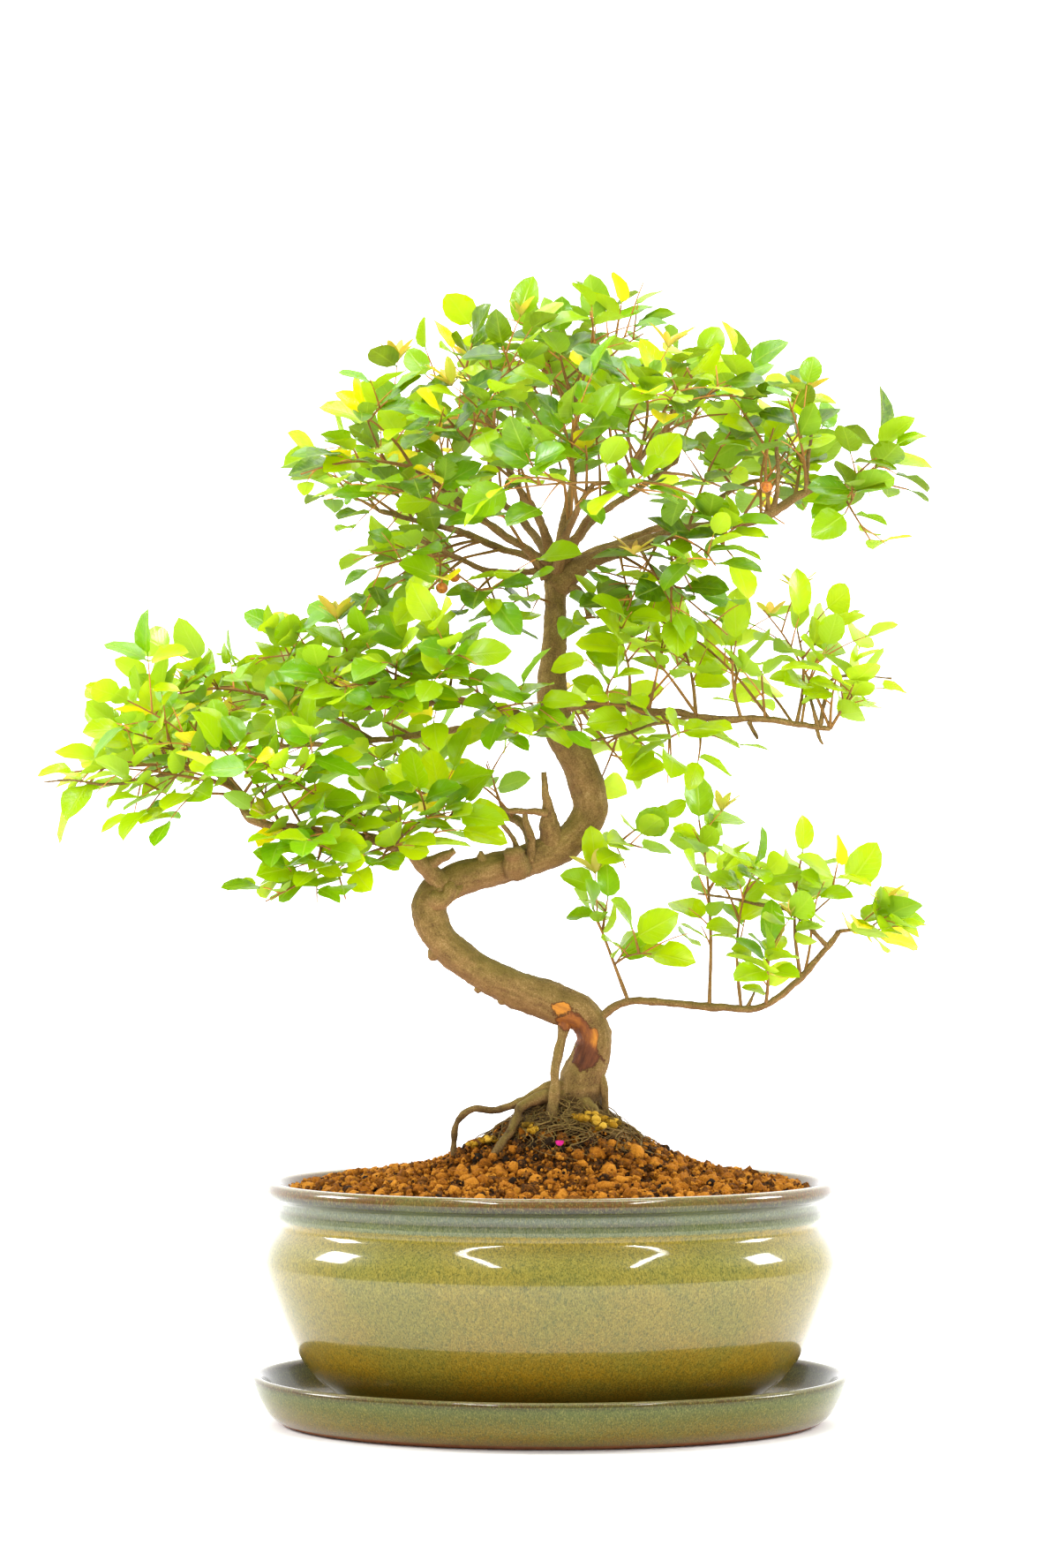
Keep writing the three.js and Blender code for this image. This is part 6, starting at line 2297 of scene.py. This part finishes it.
@dataclass
class Foliage:
    """The leafy sprays and the fruits."""

    lowest: Vec
    highest: Vec
    shape: LeafShape = field(default_factory=LeafShape)
    stem_sides: int = 6
    fruit_sides: int = 20
    fruit_rings: int = 14

    def build(self, growth: Growth) -> tuple[list[Piece], list[Piece]]:
        """Grows and builds the sprays and the fruits.

        Args:
            growth: The rule that grows them.

        Returns:
            The sprays and the fruits.
        """
        growth.grow()
        growth.fill()
        LOG.info("%d leaves", sum(len(plant.leaves()) for plant in growth.plants))
        sprays = [self.spray(plant) for plant in growth.plants]
        fruits = [self.fruit(name, growth.plant(carrier).stems[index], place, rank)
                  for rank, (name, carrier, index, place) in enumerate(FRUITS)]
        return sprays, fruits

    def spray(self, plant: Plant) -> Piece:
        """One spray: its stems as thin tubes and its leaves.

        Args:
            plant: The plant.

        Returns:
            The spray.
        """
        stems = Sheaf()
        for rank, twig in enumerate(plant.twigs()):
            fresh = 0.2 if rank < len(plant.stems) else 0.45 + 0.5 * twig.fresh
            self.add_stem(stems, twig.line, fresh, 100 + rank)
        first_leaf_face = sum(len(group) for group in stems.faces)
        stems_points = stems.count
        self.add_leaves(stems, plant)
        piece = stems.mesh("spray_" + plant.name)
        slots = np.ones(len(piece.data.polygons), np.int32)
        slots[:first_leaf_face] = 0
        piece.data.polygons.foreach_set("material_index", slots)
        self.sharpen(piece, stems_points)
        return piece

    def add_stem(self, sheaf: Sheaf, line: Line, fresh: float, seed: int) -> None:
        """Adds a stem whose radius swells at its joints and thins to its tip.

        Args:
            sheaf: Where it goes.
            line: Its line.
            fresh: How young it is at its start.
            seed: A number that names its noise.
        """
        length = line.length()
        shares = np.linspace(0, 1, max(5, round(length / 2.2)))
        swell = 1 + 0.16 * noise(line.points(shares), 0.35, seed)
        radius = line.radius(shares) * (1 - 0.35 * shares) * swell * 0.85
        points, faces = tube(line.points(shares), self.stem_sides, radius[:, None])
        place = np.concatenate([np.repeat(shares, self.stem_sides), [0, 1]])
        sheaf.add(points, faces, {"fresh": fresh + 0.35 * place})

    def add_leaves(self, sheaf: Sheaf, plant: Plant) -> None:
        """Adds all leaves of a plant.

        A point lies along its leaf's way by its share of the length, and along its side by
        its share of the half width there. It rises with the fold, falls with the droop,
        waves along the edge, and stands half the thickness off the middle surface.

        Args:
            sheaf: Where they go.
            plant: The plant.
        """
        leaves = plant.leaves()
        if not leaves:
            return
        along, across, level, faces, below = self.shape.template()
        width = np.interp(along, np.append(BLADE_ROWS, 1.0), np.append(BLADE_WIDTH, 0.0))
        get = lambda name: np.array([getattr(leaf, name) for leaf in leaves])
        picks = np.array([[draw(plant.owner, 19, rank, key) for key in range(6)]
                          for rank in range(len(leaves))])
        length, half = get("length")[:, None], get("width")[:, None] * 0.5
        fold = LEAF_FOLD * (0.5 + picks[:, 2:3])
        droop = LEAF_DROOP * (0.3 + 1.4 * picks[:, 3:4])
        lateral = across * width
        stalk = self.shape.stalk
        blade = np.clip((along - stalk) / stalk, 0, 1)
        rise = fold * np.abs(lateral) * half * blade - droop * along**2 * length
        phase = 2 * np.pi * picks[:, 4:5]
        wave = np.sin(9 * along + phase + 2 * across)
        rise = rise + self.shape.wave * half * across**2 * blade * wave
        twist = (picks[:, 5:6] - 0.5) * self.shape.twist * along
        thick = self.shape.thickness * np.where(along < 0.12, 0.9, 0.5)
        rise = rise + level * thick
        sideways = lateral * half
        side = sideways * np.cos(twist) - rise * np.sin(twist)
        rise = sideways * np.sin(twist) + rise * np.cos(twist)
        points = (get("base")[:, None] + (along * length)[..., None] * get("way")[:, None]
                  + side[..., None] * get("side")[:, None] + rise[..., None] * get("normal")[:, None])
        points = np.clip(points, self.lowest, self.highest)
        count = len(along)
        offsets = (np.arange(len(leaves)) * count)[:, None, None]
        # Painted light and shade: each mass's leaves are tinted lighter or darker for the light that
        # falls on it.
        lighter = Mass.of(plant.name).lighter()
        tints = np.array([leaf_tint(leaf, lambda key: picks[rank, key], lighter)
                          for rank, leaf in enumerate(leaves)])
        place = columns(along, across, np.zeros(count))
        quads = np.concatenate(faces[:3])
        triangles = np.concatenate(faces[3:])
        all_faces = [(quads[None] + offsets).reshape(-1, 4),
                     (triangles[None] + offsets).reshape(-1, 3)]
        under = [np.tile(part, len(leaves)) for part in np.split(below, [len(quads)])]
        sheaf.add(points, all_faces, {
            "tint": np.repeat(tints, count, axis=0),
            "blade": np.tile(place, (len(leaves), 1)),
        }, {"under": np.concatenate(under)})

    def sharpen(self, piece: Piece, start: int) -> None:
        """Marks the edges of the blades as sharp, so that each side is shaded on its own.

        Args:
            piece: The spray.
            start: The number of the first point of a leaf.
        """
        along, _, level, _, _ = self.shape.template()
        rim = level == 0
        mesh = piece.data
        ends = np.zeros(len(mesh.edges) * 2, np.int32)
        mesh.edges.foreach_get("vertices", ends)
        ends = ends.reshape(-1, 2)
        leaf = ends[:, 0] >= start
        local = (ends - start) % len(along)
        sharp = leaf & rim[local[:, 0]] & rim[local[:, 1]]
        layer = mesh.attributes.new("sharp_edge", "BOOLEAN", "EDGE")
        layer.data.foreach_set("value", sharp)

    def fruit(self, name: str, stem: Twig, place: float, rank: int) -> Piece:
        """A small fruit: a ball that is pressed in at its stalk and a little uneven.

        Args:
            name: Its name.
            stem: The stem that bears it.
            place: Its share of the stem.
            rank: Its number.

        Returns:
            The fruit.
        """
        centre = fruit_centre(stem, place)
        turn = turns(self.fruit_sides)
        tilt = np.linspace(0.08, np.pi - 0.08, self.fruit_rings)[:, None]
        x, y = np.sin(tilt) * np.cos(turn), np.sin(tilt) * np.sin(turn)
        z = np.broadcast_to(-np.cos(tilt), x.shape)
        ball = columns(x, y, z)
        dent = 1 - 0.16 * np.exp(-((tilt - np.pi) / 0.5) ** 2)
        ball = ball * (dent * (1 + 0.06 * noise(ball + rank, 1.6, 51, 2)))[..., None]
        sheaf = Sheaf()
        rings = centre + FRUIT_RADIUS * ball
        sheaf.add(*close_rings(rings, rings[0].mean(0), rings[-1].mean(0)))
        stalk = centre + np.outer(np.linspace(0.7, 1.35, 4) * FRUIT_RADIUS, UP)
        sheaf.add(*tube(stalk, 6, np.linspace(0.55, 0.4, 4)[:, None]))
        return sheaf.mesh("small_" + name)

    def dress(self, sprays: list[Piece], fruits: list[Piece], bark: Material) -> None:
        """Gives the stems bark, the blades their leaf finish and the fruits their skin.

        Args:
            sprays: The sprays.
            fruits: The fruits.
            bark: The finish of the stems.
        """
        leaf = LeafFinish().material()
        for piece in sprays:
            piece.data.materials.append(bark)
            carry(piece, "leaves", leaf, piece.name.removeprefix("spray_"))
        skin = FruitFinish().material()
        for piece in fruits:
            carry(piece, "fruit", skin, piece.name.removeprefix("small_"))


@dataclass
class RootMat:
    """Fine root hairs over the mound, lumps of moss and one fallen petal."""

    soil: SoilMound
    hairs: int = 420
    pile: float = 11.0
    pile_at: Pair = (8.0, -1.0)
    pile_reach: float = 15.0
    foot: Pair = (9.0, -1.0)
    hair_start: Pair = (5, 20)
    hair_length: Pair = (6, 26)
    hair_bend: float = 0.9
    hair_arch: float = 1.9
    hair_radius: Pair = (0.13, 0.5)
    hair_end: Triple = (0.6, 1.6, 3.0)
    moss_parts: int = 8
    moss: tuple[Triple, ...] = (
        (13, -18, 4.6), (17, -16.5, 5.2), (22, -15.5, 5.6), (27, -13.5, 4.8), (21, -19.5, 4),
        (-9, -19, 3.4), (-7, -22, 3.2), (-29, -14, 3.6), (-25, -17, 3), (-34, -13, 2.8),
    )
    petal_at: Pair = (4, -31)

    def build(self) -> list[Piece]:
        """Builds the hairs, the moss and the petal."""
        return [self.hair_mat(), self.moss_lumps(), self.petal()]

    def heap(self, x: Vec, y: Vec) -> Vec:
        """How high the hairs are piled up: all the way at the trunk's foot, and less outwards."""
        away = ((x - self.pile_at[0]) ** 2 + (y - self.pile_at[1]) ** 2) / self.pile_reach**2
        return self.pile * np.exp(-away)

    def hair_mat(self) -> Piece:
        """Thin wavy tubes that run from the trunk's foot down the mound.

        Returns:
            The hairs.
        """
        sheaf = Sheaf()
        for rank in range(self.hairs):
            pick = lambda key: draw(400, rank, key)
            turn = mix(-math.pi, math.pi, pick(0))
            start = mix(*self.hair_start, pick(1))
            shares = np.linspace(0, 1, 18)
            away = start + mix(*self.hair_length, pick(2) ** 1.5) * shares
            bend = mix(-self.hair_bend, self.hair_bend, pick(3))
            angle = turn + bend * shares + 0.14 * np.sin(11 * shares + 6 * pick(4))
            x = self.foot[0] + away * np.cos(angle) * 1.15
            y = self.foot[1] + away * np.sin(angle) * 0.95
            arch = self.hair_arch * np.sin(np.pi * shares) * pick(5)
            z = self.soil.height(x, y) + 0.7 + arch + self.heap(x, y) * pick(6)
            z = z + 0.4 * np.sin(17 * shares + 6 * pick(8))
            z[-3:] -= self.hair_end
            radius = mix(*self.hair_radius, pick(7) ** 2) * (1 - 0.5 * shares)
            points, faces = tube(columns(x, y, z), 5, radius[:, None])
            sheaf.add(points, faces, {"stain": mix(-0.2, 0.9, pick(9))})
        return sheaf.mesh("root_hairs")

    def moss_lumps(self) -> Piece:
        """Small cushions: balls pressed flat, with noise in two sizes.

        Returns:
            The moss.
        """
        sheaf = Sheaf()
        shape, quads = rough_ball()
        for rank, (x, y, size) in enumerate(self.moss):
            z = self.soil.height(x, y) + 2.6 + 0.4 * self.heap(x, y)
            for part in range(self.moss_parts):
                pick = lambda key: draw(500, rank, part, key)
                offset = np.array([pick(0) - 0.5, pick(1) - 0.5, 0.4 * (pick(2) - 0.5)]) * size * 1.3
                ball = shape * size * mix(0.28, 0.5, pick(3)) * [1, 1, 0.8]
                ball = ball * (1 + 0.3 * noise(ball + offset, 0.9, 71, 2))[:, None]
                sheaf.add(ball + offset + [x, y, z], [quads], {"tone": pick(4)})
        return sheaf.mesh("moss")

    def petal(self) -> Piece:
        """A fallen petal: a small curled oval on the granules.

        Returns:
            The petal.
        """
        x0, y0 = self.petal_at
        z0 = self.soil.height(x0, y0) + 2.8
        turn = turns(16)
        share = np.array([0.25, 0.6, 1.0])[:, None]
        x, y = 1.8 * share * np.cos(turn), 1.3 * share * np.sin(turn)
        curl = 0.18 * x**2
        low, top = (columns(x, y * 0.6, y * 0.8 + curl + level) for level in (-0.12, 0.12))
        rings = np.concatenate([low, top[::-1]]) + [x0, y0, z0]
        points, faces = close_rings(rings, rings[0].mean(0), rings[-1].mean(0))
        return one_piece("fallen_petal", points, faces, {"tone": 0.5})

    def dress(self, pieces: list[Piece], bark: Material) -> None:
        """Colours the hairs, the moss and the petal.

        Args:
            pieces: The hairs, the moss and the petal.
            bark: The finish of the hairs.
        """
        moss = GrainFinish("moss_green", (92, 70, 12), (176, 130, 26), (220, 176, 62)).material()
        petal = GrainFinish("petal_pink", (150, 14, 84), (208, 30, 128), (236, 80, 160)).material()
        for piece, slot, material in zip(pieces, ("bark", "leaves", "leaves"), (bark, moss, petal)):
            carry(piece, slot, material)


@dataclass
class Studio:
    """A white table, soft lights, a bright backdrop and the camera."""

    camera_at: Triple = (-12.0, -1770.0, 261.6)
    lens: float = 92.55
    tilt_degrees: float = 0.59
    table: float = 3.0
    table_sides: int = 96
    dim: float = 0.42
    bright: float = 2.2
    softboxes: tuple[tuple[str, float, float, float, float], ...] = (
        ("left_softbox", -0.6, -1.5, 0.1, 15), ("right_softbox", 0.85, -1.36, 0.08, 13),
    )
    softbox_heights: Pair = (0.3, 1.6)
    glints: tuple[tuple[str, float, float], ...] = (
        ("left_glint", -0.24, -0.85), ("right_glint", 0.39, 1.12),
    )
    glint_y: float = -0.75
    glint_heights: Pair = (0.6, 2.4)
    glint_width: float = 0.026
    glint_power: float = 14
    others: tuple[tuple[str, Triple, Triple, float, float], ...] = (
        ("left_window", (-1.6, -0.1, 0.65), (-1.6, -0.1, 1.35), 0.5, 32),
        ("right_window", (1.6, -0.15, 0.6), (1.6, -0.15, 1.2), 0.45, 23),
        ("top_softbox", (0.0, -0.5, 1.7), (0.0, 0.5, 1.7), 1.2, 30),
    )

    def build(self) -> None:
        """Sets up the world, the table, the lights and the camera."""
        scene = bpy.context.scene
        scene.view_settings.view_transform = "Standard"
        scene.view_settings.exposure = 0.0
        scene.world = self.world()
        scene.camera = self.camera()
        self.floor()
        for name, x, y, width, power in self.softboxes:
            low, high = ((x, y, z) for z in self.softbox_heights)
            self.light(name, low, high, width, power).visible_glossy = False
        for name, *sideways in self.glints:
            low, high = ((x, self.glint_y, z) for x, z in zip(sideways, self.glint_heights))
            strip = self.light(name, low, high, self.glint_width, self.glint_power)
            strip.visible_diffuse = strip.visible_transmission = False
        for light in self.others:
            self.light(*light)

    def world(self) -> bpy.types.World:
        """White behind and beside the table, dimmer above and behind the camera.

        Returns:
            The world.
        """
        shader = Shader("studio", world=True)
        depth = shader.part(shader.wire("ShaderNodeTexCoord", output="Generated"), "Y")
        strength = shader.wire("ShaderNodeMapRange", {
            "Value": depth, "From Min": -0.35, "From Max": 0.55,
            "To Min": self.dim, "To Max": self.bright,
        }, interpolation_type="SMOOTHSTEP")
        white = (1.0, 1.0, 1.0, 1.0)
        return shader.close(
            shader.node("ShaderNodeBackground", {"Color": white, "Strength": strength})
        )

    def floor(self) -> None:
        """A round white table top under the tray."""
        count = self.table_sides
        turn, side = turns(count), np.arange(count)
        half = self.table / 2 / MM
        ring = columns(half * np.cos(turn), half * np.sin(turn), np.zeros(count))
        faces = columns(side, (side + 1) % count, np.full(count, count))
        table = one_piece("table_top", np.vstack([ring, np.zeros(3)]), [faces])
        table.data.materials.append(FloorFinish().material())
        table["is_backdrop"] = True

    def light(self, name: str, start: Triple, end: Triple, width: float,
              power: float) -> Piece:
        """A rectangular light from start to end that faces the tree and that no view shows.

        Args:
            name: Its name.
            start: The middle of one short side, in metres.
            end: The middle of the other one.
            width: Its width.
            power: Its power in watts.

        Returns:
            The light.
        """
        low, high = np.array(start), np.array(end)
        middle = (low + high) / 2
        along = unit(high - low)
        back = middle - [0.0, 0.0, 0.25]
        back = unit(back - along * float(back @ along))
        lamp = bpy.data.lights.new(name, "AREA")
        lamp.shape, lamp.energy = "RECTANGLE", power
        lamp.size, lamp.size_y = width, float(np.linalg.norm(high - low))
        holder = bpy.data.objects.new(name, lamp)
        axes = columns(np.cross(along, back), along, back)
        turned = Matrix(axes.tolist()).to_4x4()
        turned.translation = middle
        holder.matrix_world = turned
        holder.visible_camera = False
        bpy.context.scene.collection.objects.link(holder)
        return holder

    def camera(self) -> Piece:
        """The camera of the photograph: level with the tree, in front, a little to the left.

        Returns:
            The camera.
        """
        data = bpy.data.cameras.new("front_camera")
        data.sensor_fit = "VERTICAL"
        data.sensor_height = 36.0
        data.lens = self.lens
        data.clip_end = 20.0
        holder = bpy.data.objects.new("front_camera", data)
        holder.location = [value * MM for value in self.camera_at]
        holder.rotation_euler = (math.radians(90 + self.tilt_degrees), 0, 0)
        bpy.context.scene.collection.objects.link(holder)
        return holder


def main() -> None:
    """Builds and dresses every sub-assembly in order."""
    logging.basicConfig(level=logging.INFO, format="%(name)s %(message)s")
    solid_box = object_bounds()
    lowest, highest = (np.array(corner) / MM for corner in solid_box)
    Studio().build()
    tray, pot, soil, wood = DripTray(), OvalPot(), SoilMound(), TreeWood()
    tray.dress(tray.build())
    pot.dress(pot.build())
    soil.dress(soil.build())
    bark = BarkFinish().material()
    wood.dress(wood.build(), bark)
    foliage = Foliage(lowest + EDGE, highest - EDGE)
    foliage.dress(*foliage.build(Growth(lowest + EDGE, highest - EDGE)), bark)
    root_mat = RootMat(soil)
    root_mat.dress(root_mat.build(), bark)


if __name__ == "__main__":
    main()
